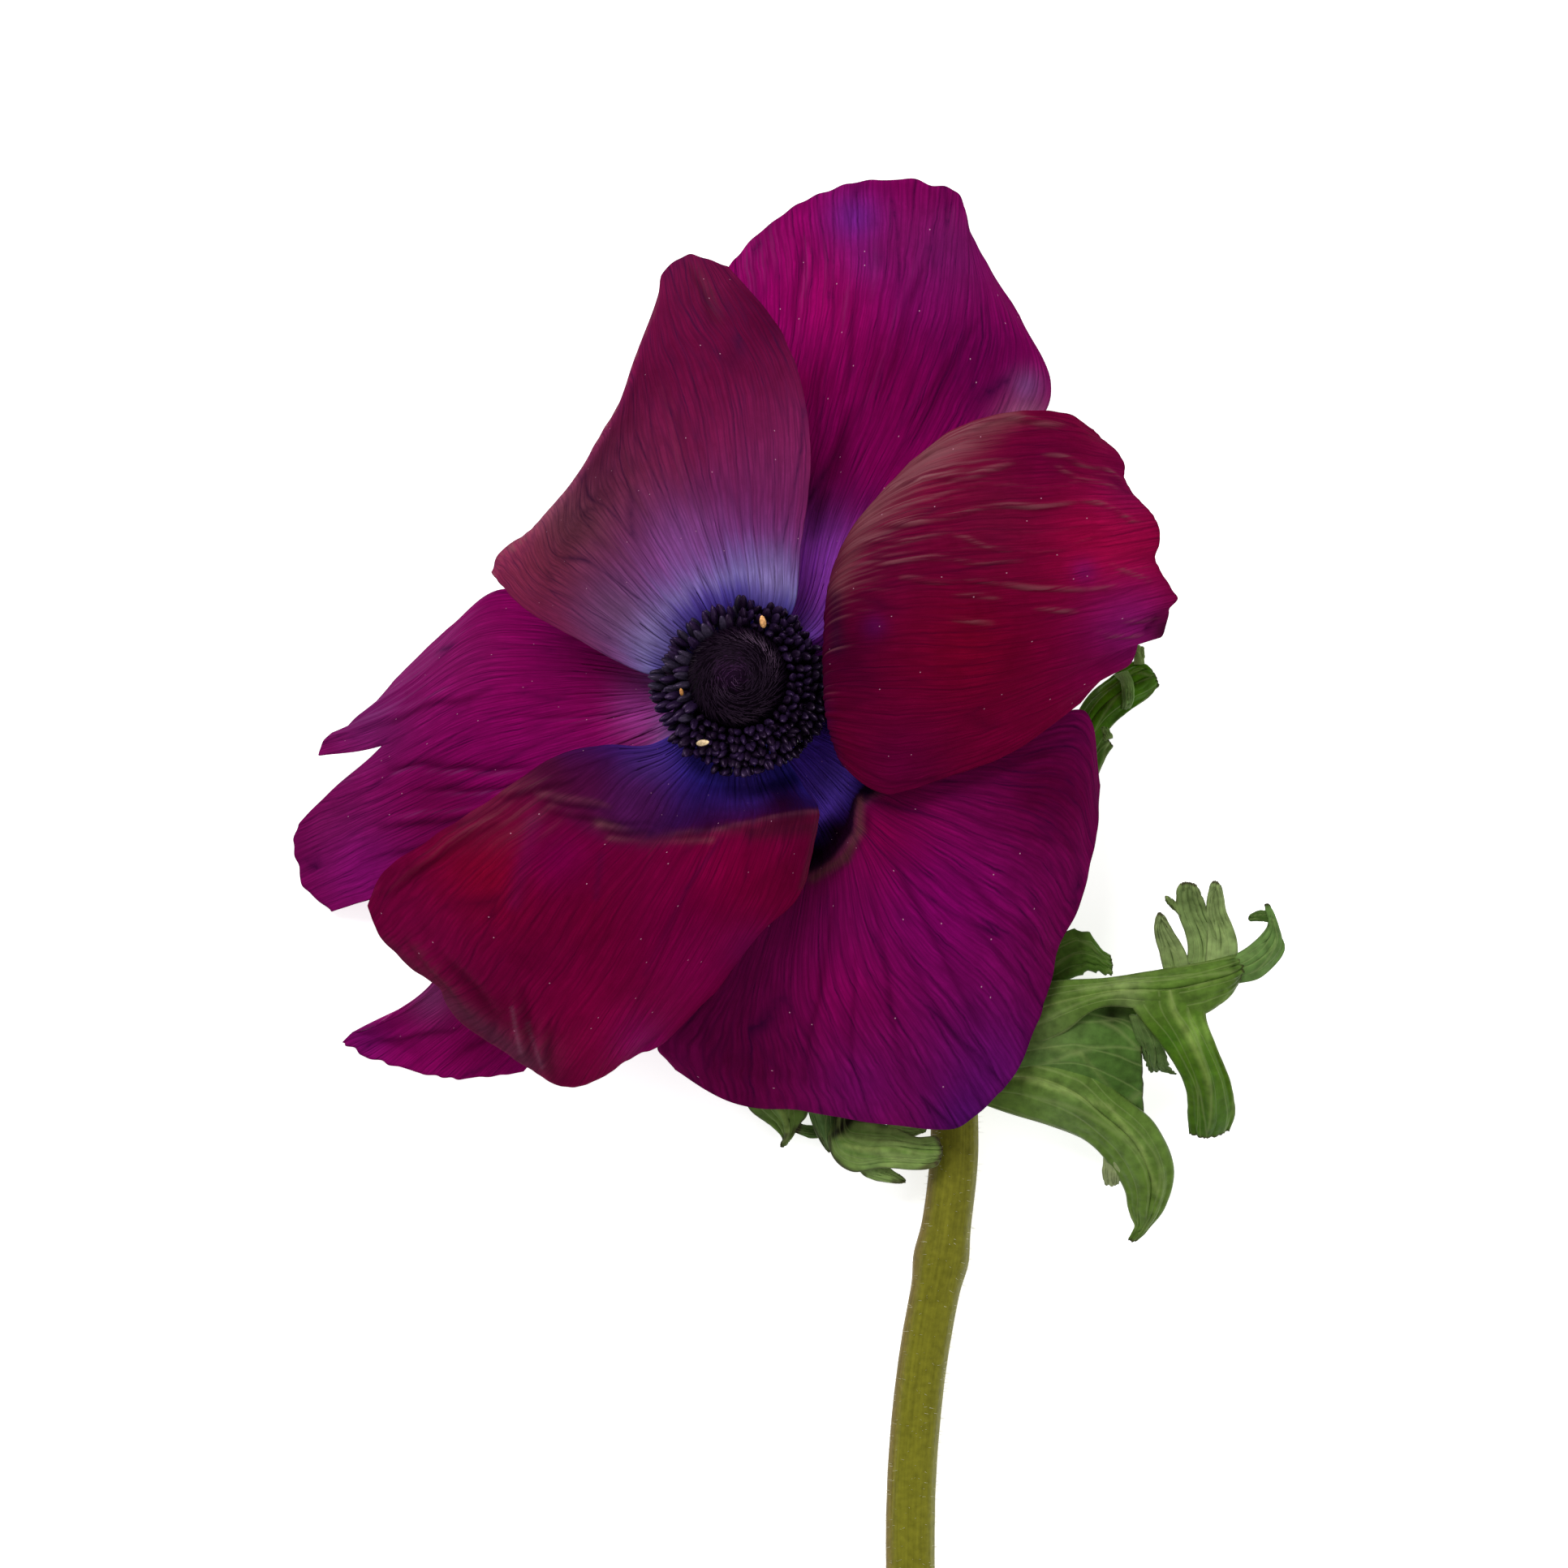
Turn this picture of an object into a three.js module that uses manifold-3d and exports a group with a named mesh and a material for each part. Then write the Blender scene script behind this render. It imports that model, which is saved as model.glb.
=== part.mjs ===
// Cut anemone flower lying on its back: seven petals in two layers, a dark centre,
// a ruff of three cut leaves and a bent stem. Millimetres, +Z up, the surface at z = 0.
// Shapes are written round the middle of the bloom, with +Y towards the top petal.

import * as THREE from 'three';
import * as BufferGeometryUtils from 'three/addons/utils/BufferGeometryUtils.js';
import Module from 'manifold-3d';

// Driving dimensions
const BLOOM_X = -4; // middle of the bloom in the part's frame
const BLOOM_Y = 56.7;
const PETAL_THICKNESS = 0.7;
const LEAF_THICKNESS = 0.75;
const PETAL_ACROSS = 13; // grid steps across a petal
const PETAL_ALONG = 12; // grid steps from its base to its margin
const CLOSER = 1.4; // how much closer the steps lie towards a petal's margin

const RECEPTACLE_RADIUS = 3.72; // the knob that the petals stand round
const RECEPTACLE_TOP = 24.2;
const STEM_RADIUS = 2.45;
const STEM_SIDES = 12;
const STEM_STEPS = 32;
const STEM_CUT_Y = -165; // where the stem is cut

const DISC_RADIUS = 4.7; // the rim that the stamens grow from
const DISC_BOTTOM = 24.5;
const DISC_TOP = 25.6;
const DOME_RADIUS = 4.9;
const DOME_BOTTOM = 25.9;
const DOME_EQUATOR = 28.2;
const DOME_TOP = 31.6;
const DOME_SHIFT = [-0.5, 0.75]; // the flower faces a little up and left
const RING_RADIUS = 8.1; // outermost anthers, middle to middle
const RING_RIGHT = 7.6; // the ring is pressed in beside the right petal
const ANTHER_RADIUS = 0.66;
const STAMENS_PER_ROW = [22, 26, 30]; // from the dome outwards
const STAMEN_SEED = 7;

// Each petal is a net of points, from its base to its margin, each row from its left
// side to its right as seen from inside the bloom with its tip up.
const PETALS = {
  petal_inner_upper_left: {
    colour: 0x6a1240,
    net: [
      [[-4.1, 1, 23], [-3.7, 2.1, 23], [-2.9, 3.1, 23], [-1.8, 3.8, 23], [-0.6, 4.2, 23],
        [0.7, 4.15, 23], [1.8, 3.8, 23.1]],
      [[-8.4, 1.2, 24.6], [-8.2, 3.5, 24.2], [-6.9, 6, 24], [-4.6, 8, 24], [-1.7, 9.1, 24.2],
        [1.8, 9.2, 24.8], [5, 7.8, 25.8]],
      [[-12, 2.5, 26.8], [-12.4, 6.1, 26], [-10.9, 9.9, 25.6], [-7.9, 12.9, 25.5],
        [-3.6, 14.8, 25.9], [1.2, 15.3, 27], [5.7, 13.7, 28.6]],
      [[-17, 5.2, 29.2], [-17.2, 9.5, 29], [-15.2, 14.4, 28.6], [-11.2, 18.8, 28.2],
        [-5.6, 21.7, 28.2], [0.9, 22.8, 29.2], [6.7, 21.2, 31]],
      [[-21.4, 7.7, 31.6], [-20.8, 12.1, 32.6], [-18, 17.2, 32.4], [-13.4, 22.9, 31.4],
        [-7.4, 28.5, 30.6], [-0.4, 31, 30.8], [6.1, 28.6, 32.4]],
      [[-24.2, 10.6, 32], [-21, 14, 34], [-16.1, 18.9, 34.6], [-11.7, 26.6, 34],
        [-8.9, 34, 32.6], [-4, 37.4, 31.2], [3.6, 35.4, 32.2]],
      [[-23.3, 12.1, 28.6], [-19.9, 15.2, 29.8], [-15, 20, 30.6], [-10.6, 27.6, 30.6],
        [-8, 39.2, 31.2], [-5.4, 42.5, 31.4], [-1.4, 41.4, 31.6]],
    ],
  },
  petal_inner_right: {
    colour: 0x7a0430,
    net: [
      [[2.8, 3.2, 23.1], [3.5, 2.4, 23], [4, 1.3, 23], [4.2, 0.2, 23], [4.1, -0.9, 23],
        [3.8, -1.9, 23], [3.3, -2.7, 23.1]],
      [[8.7, 6.3, 25.4], [9.1, 4.9, 25.6], [9.4, 3.2, 25.8], [9.5, 0.9, 26], [9.4, -1.6, 25.8],
        [9.3, -3.6, 25.4], [9, -5, 24.8]],
      [[13, 17.8, 27.5], [10.3, 14.6, 30.5], [8.8, 10.6, 32], [8.3, 6, 32.5], [8.25, 1.4, 32],
        [8.6, -3.2, 30.8], [9.9, -7.6, 28.2]],
      [[19.5, 24.6, 29], [16.8, 19.6, 34], [15.2, 13.8, 36.2], [14.6, 8, 36.8],
        [14.6, 2.2, 36.2], [14.4, -4, 33.6], [14, -10.4, 28.6]],
      [[25.5, 27, 29], [24.4, 21, 34], [23.8, 14.8, 36.4], [23.2, 8.4, 36.8], [22.6, 2.2, 36],
        [21.4, -3.2, 32.8], [20, -8.8, 27.6]],
      [[31.5, 27.2, 26.5], [31.8, 21.5, 30.6], [32.4, 15.5, 32.4], [32.4, 9.5, 32.6],
        [31.4, 4, 31.6], [29.2, -0.6, 29], [26.5, -6.3, 25.4]],
      [[35, 25.2, 24], [37.8, 21.8, 25.4], [40.4, 15.6, 26.2], [42.2, 9.2, 26.2], [41.4, 4.6, 25.4],
        [38, 1.6, 25], [33.4, -1.8, 24]],
    ],
  },
  petal_inner_lower_left: {
    colour: 0x6d022c,
    net: [
      [[2.1, -3.6, 23.1], [1, -4.05, 23], [-0.1, -4.2, 23], [-1.2, -4, 23], [-2.2, -3.6, 23],
        [-3, -3, 23], [-3.5, -2.4, 23.1]],
      [[4.6, -7.4, 23.6], [2.2, -8.5, 23.4], [-0.3, -8.9, 23.3], [-2.8, -8.6, 23.3],
        [-5.2, -7.7, 23.4], [-7.2, -6.6, 23.8], [-8.8, -5.5, 24.4]],
      [[6.3, -10, 26.4], [3.3, -10.8, 26.4], [0, -11.4, 26.2], [-3.8, -11.6, 26.2],
        [-7.8, -10.8, 26.8], [-11.4, -8.6, 28], [-13.6, -5.6, 28.4]],
      [[7.5, -12, 30.6], [4, -12.6, 32.4], [0, -13.4, 33.4], [-4.6, -14.2, 34],
        [-9.8, -14.4, 34.2], [-15, -12.2, 33.4], [-18.6, -6.8, 30.6]],
      [[7, -15.5, 31], [2.6, -17.5, 34], [-2.4, -19.4, 35.6], [-8.2, -20.6, 36.2],
        [-14.8, -19.8, 35.6], [-21, -16.6, 33.6], [-25.8, -11.6, 29.4]],
      [[5.6, -20.4, 27.6], [0, -23, 30.6], [-5.8, -25.8, 32.6], [-12.2, -27.4, 33.2],
        [-19, -26, 32.4], [-25.8, -21.8, 30.4], [-31.6, -15.3, 27]],
      [[1.8, -24.2, 22.6], [-3.8, -28.8, 25], [-9.8, -32, 26.6], [-16.2, -33.4, 27.2],
        [-22.8, -31, 26.8], [-29.2, -26.2, 25.4], [-35.4, -18, 23]],
      [[-2.6, -30.2, 17], [-7.4, -34.8, 17], [-12.8, -37.8, 17.6], [-18.6, -39.5, 17.8],
        [-25, -34.8, 18.6], [-32, -28.5, 19], [-37, -22.4, 19.4]],
    ],
  },
  petal_outer_top: {
    colour: 0x7c0a52,
    net: [
      [[-0.4, 4.2, 21.2], [0.3, 4.2, 21.2], [1, 4.1, 21.2], [1.7, 3.85, 21.2], [2.3, 3.5, 21.2],
        [2.8, 3.1, 21.2], [3.2, 2.7, 21.2]],
      [[-1.2, 9, 21.4], [1.2, 9.3, 21], [3.4, 9, 20.8], [5.4, 8.3, 20.7], [7.2, 7.2, 20.8],
        [8.8, 5.8, 21], [10, 4.2, 21.4]],
      [[-2.8, 17, 21.4], [0.4, 17.8, 20.6], [3.8, 18, 20.2], [7.2, 17.6, 20], [10.6, 16.6, 20.2],
        [13.6, 14.8, 20.6], [16.2, 12.4, 21]],
      [[-4.2, 27, 20], [0.4, 28.4, 18.6], [5.4, 29, 17.8], [10.6, 28.8, 17.6], [15.8, 27.2, 17.8],
        [20.8, 24.2, 18.2], [24.8, 20.2, 18.8]],
      [[-4.2, 35.6, 16.4], [1, 38, 13.6], [7, 39.8, 12.4], [13.2, 40.2, 12], [19.4, 38.4, 12.2],
        [25.2, 34.2, 13], [30.6, 29.2, 15]],
      [[-2.6, 40.4, 12], [0.4, 44.4, 7.6], [6.6, 49.3, 3.2], [13.4, 51.2, -2.4], [21, 50.3, -2],
        [23.3, 44.4, 3.6], [27.6, 37.4, 8.2]],
    ],
  },
  petal_outer_left: {
    colour: 0x720a50,
    notch: { from: 0.36, at: 0.53, to: 0.585, depth: 0.2 },
    net: [
      [[-3.8, -1.8, 21.2], [-4, -1.2, 21.2], [-4.15, -0.6, 21.2], [-4.2, 0.1, 21.2],
        [-4.15, 0.8, 21.2], [-4, 1.45, 21.2], [-3.6, 2.1, 21.2]],
      [[-8.3, -4.8, 20.9], [-8.8, -3.3, 20.7], [-9.1, -1.7, 20.6], [-9.2, 0, 20.6],
        [-9.1, 1.7, 20.6], [-8.7, 3.3, 20.8], [-8.1, 4.8, 21]],
      [[-15.6, -9.8, 19.8], [-16.8, -6.8, 19.2], [-17.4, -3.6, 19], [-17.6, -0.2, 19],
        [-17.4, 3, 19.2], [-16.8, 5.8, 19.6], [-15.8, 8.4, 20]],
      [[-24.4, -15.2, 15.8], [-26, -10.8, 15.2], [-26.8, -6.2, 15.2], [-27, -1.6, 15.6],
        [-26.6, 2.6, 16.2], [-25.6, 6.2, 16.8], [-23.8, 9.9, 17.6]],
      [[-34, -19.8, 9], [-36, -15.2, 8.2], [-36.6, -10.8, 8.4], [-36.2, -6.4, 9.4],
        [-35, -2.6, 10.4], [-32.6, 1.2, 11.8], [-29, 6.2, 13.4]],
      [[-41.4, -22.3, 1.4], [-44.4, -19.2, -1.6], [-45, -14.4, -1.6], [-43.2, -8.8, 1.4],
        [-41.8, -5, 4], [-38.4, -2.8, 6], [-34.2, 1.2, 8.6]],
    ],
  },
  petal_outer_lower_left: {
    colour: 0x74064c,
    net: [
      [[-0.7, -4.15, 21.2], [-1.5, -3.95, 21.2], [-2.2, -3.6, 21.2], [-2.8, -3.15, 21.2],
        [-3.3, -2.6, 21.2]],
      [[-2.6, -9.3, 20.6], [-4.2, -8.6, 20.4], [-5.5, -7.8, 20.3], [-6.6, -7, 20.4],
        [-7.4, -6.2, 20.6]],
      [[-6.6, -17.6, 18.4], [-9.6, -16.8, 18], [-12.4, -15.4, 17.8], [-14.6, -13.6, 18],
        [-16, -12.2, 18.4]],
      [[-11.8, -26.6, 14], [-16.2, -25.6, 13.2], [-20.2, -23.6, 13], [-23, -21.4, 13.2],
        [-24.6, -19.6, 13.8]],
      [[-17.6, -33.8, 8], [-22.8, -33.2, 6.8], [-27.2, -31.4, 6.4], [-30, -30, 6.8],
        [-31, -29.2, 7.4]],
      [[-22, -38.2, 4.4], [-28.8, -39, 2.4], [-34.9, -37.8, -1.4], [-40.2, -35.4, -1.4],
        [-35.6, -33, 3.4]],
    ],
  },
  petal_outer_lower_right: {
    colour: 0x6c0a50,
    net: [
      [[3.5, -2.35, 21.2], [3.1, -2.85, 21.2], [2.6, -3.3, 21.2], [2, -3.7, 21.2],
        [1.4, -3.95, 21.2], [0.8, -4.12, 21.2], [0.1, -4.2, 21.2]],
      [[9.2, -4.6, 20.6], [8.4, -6, 20.4], [7.4, -7.2, 20.2], [6.2, -8.2, 20.2], [4.8, -9, 20.2],
        [3.2, -9.6, 20.3], [1.4, -10, 20.5]],
      [[14.4, -5.6, 21.6], [12.6, -8, 21.2], [11.4, -10.4, 21], [10.4, -12.8, 20.8],
        [8.8, -14.8, 20.4], [6.6, -16.2, 20], [3.8, -17, 19.6]],
      [[20, -6, 23.4], [16.8, -9.6, 24.6], [13.2, -12.2, 25.2], [11.4, -15.4, 25.4],
        [8.8, -18, 24.6], [5.4, -19.8, 22.4], [1.6, -20.6, 19.6]],
      [[27.6, -4, 21.6], [24.4, -11, 23.8], [20.4, -17.6, 24.8], [15.8, -23.8, 24],
        [10.2, -28, 21.6], [3.4, -29.8, 18], [-3.4, -29.6, 14.6]],
      [[34, -2.2, 18], [31.2, -13.2, 19.8], [27.4, -22.4, 20.4], [22.4, -31, 19.2],
        [15, -36.4, 16.6], [5, -37.2, 13.8], [-8.6, -34.6, 11.6]],
      [[35.6, -9.6, 14.6], [34.2, -18.6, 14.8], [31, -27.4, 14.2], [27, -38.4, 12.4],
        [19.4, -44.4, 10.8], [5.6, -43, 9.6], [-6.8, -38.9, 8.6]],
    ],
  },
};

// Each leaf is cut into lobes. A lobe is a net like a petal's, three points to a row,
// and starts inside the blade that carries it.
const LEAVES = {
  leaf_right: {
    colour: 0x4f7330,
    lobes: [
      // long upper blade with its hooked tip
      [[[22.1, -34.2, 7.2], [22.4, -36, 7.6], [22.4, -38.4, 6.8]],
        [[29.8, -29.3, 10.6], [30.4, -31.7, 11.8], [31.8, -34.6, 11]],
        [[36, -28.7, 12], [36.6, -30.6, 13.2], [37.4, -32.2, 12.4]],
        [[43, -27.5, 12.6], [43.6, -29.8, 13.6], [44.5, -32.2, 12.4]],
        [[48.5, -26.5, 11.6], [49.3, -28, 12], [49.6, -29.3, 11]],
        [[51.4, -23.8, 10.8], [52.3, -25.2, 10.8], [52.9, -26.9, 9.8]],
        [[51.8, -21.6, 11.2], [52.3, -22, 11.1], [52.8, -22.8, 10.8]]],
      // lobe hanging on the right
      [[[39.4, -29.8, 14], [41.8, -29.4, 14.6], [44.6, -29.8, 14.2]],
        [[40.3, -33.8, 12], [43.2, -33.2, 13.6], [46.2, -34, 12.4]],
        [[42.8, -37.4, 10.6], [45, -36.8, 12], [47.3, -37.2, 10.8]],
        [[44.1, -40.8, 8.8], [46.3, -40.6, 10], [48.6, -40.6, 8.8]],
        [[44.3, -43.4, 7.2], [46.4, -43.6, 8.2], [48.6, -43.2, 7]],
        [[45.2, -44.7, 6.4], [45.9, -45.1, 6.6], [46.7, -44.7, 6.3]]],
      // broad lower blade with its long tip
      [[[23.6, -35.8, 7.8], [23.6, -38.4, 7], [23.4, -40.6, 5.8]],
        [[31.4, -32.6, 12.6], [27.8, -37.6, 9], [25.2, -42, 6.4]],
        [[38.7, -33.4, 10.8], [34.6, -38.2, 10.4], [30.2, -43.5, 7]],
        [[39.8, -39.4, 9.6], [36.9, -42.3, 9.4], [34, -45, 6.6]],
        [[41.6, -43.5, 8.2], [39.2, -45.6, 8.6], [36.4, -47.6, 6.2]],
        [[42.9, -47.5, 6.2], [40.6, -48.9, 6.8], [38.1, -50.2, 5]],
        [[41.6, -52.2, 3.6], [40.3, -52.5, 4], [39.1, -52.6, 3.2]],
        [[39.4, -54.8, 2], [39.1, -55, 2], [38.7, -54.9, 1.8]]],
      // three fingers turned up behind the upper blade
      [[[42, -29.4, 14.2], [43.2, -29.4, 14.4], [44.4, -29.4, 14.4]],
        [[41, -25.4, 9.4], [41.9, -25.4, 8.8], [43.4, -25.6, 9.2]],
        [[41.1, -22.8, 10.6], [41.4, -22.6, 10.4], [41.9, -22.9, 10.4]]],
      [[[43.6, -29, 14.4], [45, -29, 14.6], [46.4, -29, 14.2]],
        [[43.6, -24.4, 9], [44.7, -24.5, 8.4], [46, -24.4, 9]],
        [[42.4, -21.2, 10.4], [43.9, -21.2, 9.8], [45.4, -21, 10.4]],
        [[43, -19.7, 11.8], [43.6, -19.5, 11.6], [44.4, -19.6, 11.8]]],
      [[[45.6, -28.6, 13.6], [47, -28.4, 13.8], [48.6, -28, 12.8]],
        [[46.1, -24.2, 8.8], [47.4, -24.2, 8.4], [48.9, -24.4, 9]],
        [[46.3, -21.2, 10], [47.3, -21.1, 9.6], [48.3, -21.4, 10]],
        [[46.8, -19.7, 11.4], [47.2, -19.5, 11.2], [47.8, -19.8, 11.4]]],
      // small lobe under the opening
      [[[37.4, -34.6, 11.6], [38.9, -34, 11.8], [40.4, -34.2, 12]],
        [[39.8, -36.8, 7.6], [41.3, -36.7, 8.2], [42.8, -36.9, 7.8]],
        [[40.7, -38.2, 6.8], [41.8, -38.2, 7.2], [43.2, -38.3, 6.9]]],
      // small toothed lobe behind, towards the bloom
      [[[32.6, -31.8, 13.2], [34.6, -31.4, 13.6], [36.6, -31, 13.8]],
        [[31.6, -26.6, 7.6], [33.8, -26.8, 8], [36.6, -27.4, 7.8]],
        [[32.6, -24.2, 7], [34, -24.6, 7.4], [35.8, -25.8, 7.2]]],
    ],
  },
  leaf_left: {
    colour: 0x5e7638,
    lobes: [
      [[[17, -34.6, 4.8], [16.9, -37, 5.6], [16.6, -39.4, 4.8]],
        [[13.2, -34, 4.4], [12.8, -37, 5.2], [12.4, -40, 4.4]],
        [[6.6, -33.6, 3.6], [6, -36.8, 4.6], [5.6, -40, 3.8]],
        [[2.4, -35.4, 3], [1.8, -37.6, 3.6], [1.4, -39.8, 3]]],
      [[[2, -37.6, 4.8], [4, -37.8, 5.4], [6, -38, 5]],
        [[0.7, -41.6, 2], [3.4, -41.6, 2.8], [6.2, -42.2, 2.4]],
        [[2.6, -43.6, 1.6], [4.2, -43.8, 2.2], [6.4, -44.4, 1.8]],
        [[3.8, -45.4, 1.5], [4.1, -45.5, 1.6], [4.5, -45.4, 1.5]]],
      [[[6.6, -37.6, 5.8], [7.6, -37.8, 6], [8.6, -38, 5.8]],
        [[6.4, -42.6, 3.2], [7.4, -42.8, 3.8], [8.4, -43, 3.2]],
        [[7.6, -45.6, 2.6], [8.3, -45.6, 3], [9, -45.6, 2.6]],
        [[8.5, -47, 2.4], [8.7, -47.1, 2.4], [9, -47, 2.4]]],
      [[[8.8, -37.4, 6.2], [10.6, -37.6, 6.4], [12.4, -37.8, 6.2]],
        [[8.7, -43.4, 3.8], [10.2, -42.8, 4.6], [11.8, -42, 4.2]],
        [[9.2, -46.6, 4.6], [10.8, -45.2, 5.6], [12.3, -43.2, 5.2]],
        [[12, -48.6, 5.2], [13.2, -46.2, 6.4], [14.4, -43.5, 5.8]],
        [[15.6, -48.8, 6], [16.2, -46.4, 7.1], [16.8, -44, 6.6]],
        [[18.4, -47.9, 6.7], [18.8, -46.4, 7.4], [18.8, -44.7, 7]],
        [[19.5, -46.9, 7.1], [19.7, -46.3, 7.2], [19.6, -45.6, 7.1]]],
    ],
  },
  leaf_back: {
    colour: 0x44682c,
    lobes: [
      [[[22.2, -32.8, 3.8], [23.4, -34.2, 4.4], [24.1, -35.2, 4]],
        [[23.4, -23.6, 4.6], [26, -24.6, 5.6], [28.6, -25.2, 4.8]],
        [[27.4, -13, 5.6], [30.2, -13.8, 6.8], [33.2, -14.2, 5.8]],
        [[31, -5.4, 8.4], [33.2, -6.4, 9.6], [35.8, -7.4, 8.6]],
        [[34.4, -3.2, 9.4], [35.4, -4.2, 9.8], [36.6, -5.2, 9.4]]],
      [[[31.2, -6.6, 10.4], [32.4, -7.2, 10.6], [33.6, -7.8, 10.6]],
        [[34.4, -0.8, 9.2], [35.5, -1.6, 10.2], [36.7, -2.2, 9.2]],
        [[37, 1.6, 11], [37.9, 0.8, 11.8], [38.9, 0.2, 11]],
        [[38.9, 3.6, 12], [39.2, 3.4, 12.2], [39.6, 3.1, 12]]],
      [[[32.4, -8.6, 10.2], [33.6, -9, 10.4], [34.8, -9.4, 10.2]],
        [[35, -3.8, 8.6], [36.2, -4.4, 9.4], [37.4, -3, 8.8]],
        [[38, -0.8, 10], [38.9, -1.4, 10.6], [39.8, -0.8, 10]],
        [[40.6, 1.4, 11.2], [40.9, 1, 11.3], [41.3, 1, 11.2]]],
    ],
  },
};

// Stem from its cut end, lying on the surface, up through the ruff and into the bloom
const STEM_POINTS = [
  [18.4, STEM_CUT_Y, STEM_RADIUS], [17.8, -140, STEM_RADIUS], [17.2, -115, STEM_RADIUS],
  [16.8, -95, STEM_RADIUS], [16.7, -80, STEM_RADIUS], [17.9, -67, STEM_RADIUS],
  [19.6, -58, 2.6], [20.9, -49, 3], [21.1, -43, 3.4], [20.4, -36, 4.3], [17.4, -28, 6],
  [13, -19.5, 8.4], [8, -11, 11], [3.6, -4.6, 13.8], [0.9, -1.2, 16.6], [0, 0, 19.6],
];
const RUFF_AT = 0.62; // where the leaves join, as a share of the stem's length

const wasm = await Module();
wasm.setup();

function seededRandom(seed) {
  let state = seed;
  return () => {
    state = (state * 16807) % 2147483647;
    return state / 2147483647;
  };
}

// Point at t between b and c of four evenly spaced points on a smooth curve
function smooth(a, b, c, d, t) {
  return b.map((_, i) => {
    const p = 2 * b[i];
    const q = c[i] - a[i];
    const r = 2 * a[i] - 5 * b[i] + 4 * c[i] - d[i];
    const s = 3 * b[i] - a[i] - 3 * c[i] + d[i];
    return 0.5 * (p + t * (q + t * (r + t * s)));
  });
}

// Point at a share s of a row of points, 0 at its first and 1 at its last
function alongRow(row, s) {
  const last = row.length - 1;
  const k = Math.min(Math.floor(s * last), last - 1);
  const before = row[k - 1] ?? row[0].map((x, i) => 2 * x - row[1][i]);
  const after = row[k + 2] ?? row[last].map((x, i) => 2 * x - row[last - 1][i]);
  return smooth(before, row[k], row[k + 1], after, s * last - k);
}

function netPoint(net, across, along) {
  const column = net.map((row) => alongRow(row, across));
  return new THREE.Vector3(...alongRow(column, along));
}

// A blade of even thickness on a net. Both faces share one pattern of triangles, and
// what would dip below the surface lies flat on it.
function blade({ net, columns, steps, thickness, reach = () => 1, closer = 1 }) {
  const across = columns.length - 1;
  const pattern = new THREE.PlaneGeometry(1, 1, across, steps);
  const count = pattern.attributes.position.count;
  const at = (u, v) => {
    const stop = 1 - (1 - reach(u)) * v ** 3;
    const point = netPoint(net, u, v * stop);
    point.z = Math.max(point.z, thickness / 2);
    return point;
  };
  const step = 0.01;
  const vertices = [];
  for (const side of [0.5, -0.5]) {
    for (let k = 0; k < count; k += 1) {
      const u = columns[k % (across + 1)];
      const v = 1 - (Math.floor(k / (across + 1)) / steps) ** closer;
      const du = at(Math.min(u + step, 1), v).sub(at(Math.max(u - step, 0), v));
      const dv = at(u, Math.min(v + step, 1)).sub(at(u, Math.max(v - step, 0)));
      const normal = du.cross(dv).normalize();
      const point = at(u, v).addScaledVector(normal, side * thickness);
      vertices.push(point.x, point.y, Math.max(point.z, 0));
    }
  }
  const top = Array.from(pattern.index.array);
  const faces = [...top];
  for (let k = 0; k < top.length; k += 3) {
    faces.push(top[k] + count, top[k + 2] + count, top[k + 1] + count);
  }
  const rim = [];
  for (let i = 0; i < across; i += 1) rim.push(i);
  for (let j = 0; j < steps; j += 1) rim.push(across + j * (across + 1));
  for (let i = across; i > 0; i -= 1) rim.push(steps * (across + 1) + i);
  for (let j = steps; j > 0; j -= 1) rim.push(j * (across + 1));
  rim.forEach((a, k) => {
    const b = rim[(k + 1) % rim.length];
    faces.push(a, b, a + count, b, b + count, a + count);
  });
  const geometry = new THREE.BufferGeometry();
  geometry.setAttribute('position', new THREE.Float32BufferAttribute(vertices, 3));
  geometry.setIndex(faces);
  return geometry;
}

function evenColumns(steps) {
  return Array.from({ length: steps + 1 }, (_, i) => i / steps);
}

function petalGeometry({ net, notch }) {
  let columns = evenColumns(PETAL_ACROSS);
  let reach = () => 1;
  if (notch) {
    const { from, at, to, depth } = notch;
    const cut = [from, (from + at) / 2, at, to];
    columns = columns.filter((u) => cut.every((c) => Math.abs(u - c) > 0.03));
    columns = [...columns, ...cut].sort((a, b) => a - b);
    const side = (u) => (u < at ? (u - from) / (at - from) : (to - u) / (to - at));
    reach = (u) => 1 - depth * Math.max(0, side(u));
  }
  return blade({
    net, columns, reach, steps: PETAL_ALONG, thickness: PETAL_THICKNESS, closer: CLOSER,
  });
}

function toManifold(geometry) {
  const bare = geometry.clone();
  bare.deleteAttribute('normal');
  bare.deleteAttribute('uv');
  const merged = BufferGeometryUtils.mergeVertices(bare, 1e-4);
  return new wasm.Manifold(new wasm.Mesh({
    numProp: 3,
    vertProperties: new Float32Array(merged.attributes.position.array),
    triVerts: new Uint32Array(merged.index.array),
  }));
}

function fromManifold(solid) {
  const { vertProperties, triVerts } = solid.getMesh();
  const geometry = new THREE.BufferGeometry();
  geometry.setAttribute('position', new THREE.Float32BufferAttribute(vertProperties, 3));
  geometry.setIndex(Array.from(triVerts));
  return geometry;
}

function fuse(geometries) {
  return fromManifold(geometries.map(toManifold).reduce((whole, piece) => whole.add(piece)));
}

function leafGeometry({ lobes }) {
  return fuse(lobes.map((net) => {
    const across = net.length > 5 ? 4 : 2;
    const columns = evenColumns(across);
    return blade({ net, columns, steps: 2 * (net.length - 1), thickness: LEAF_THICKNESS });
  }));
}

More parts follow.
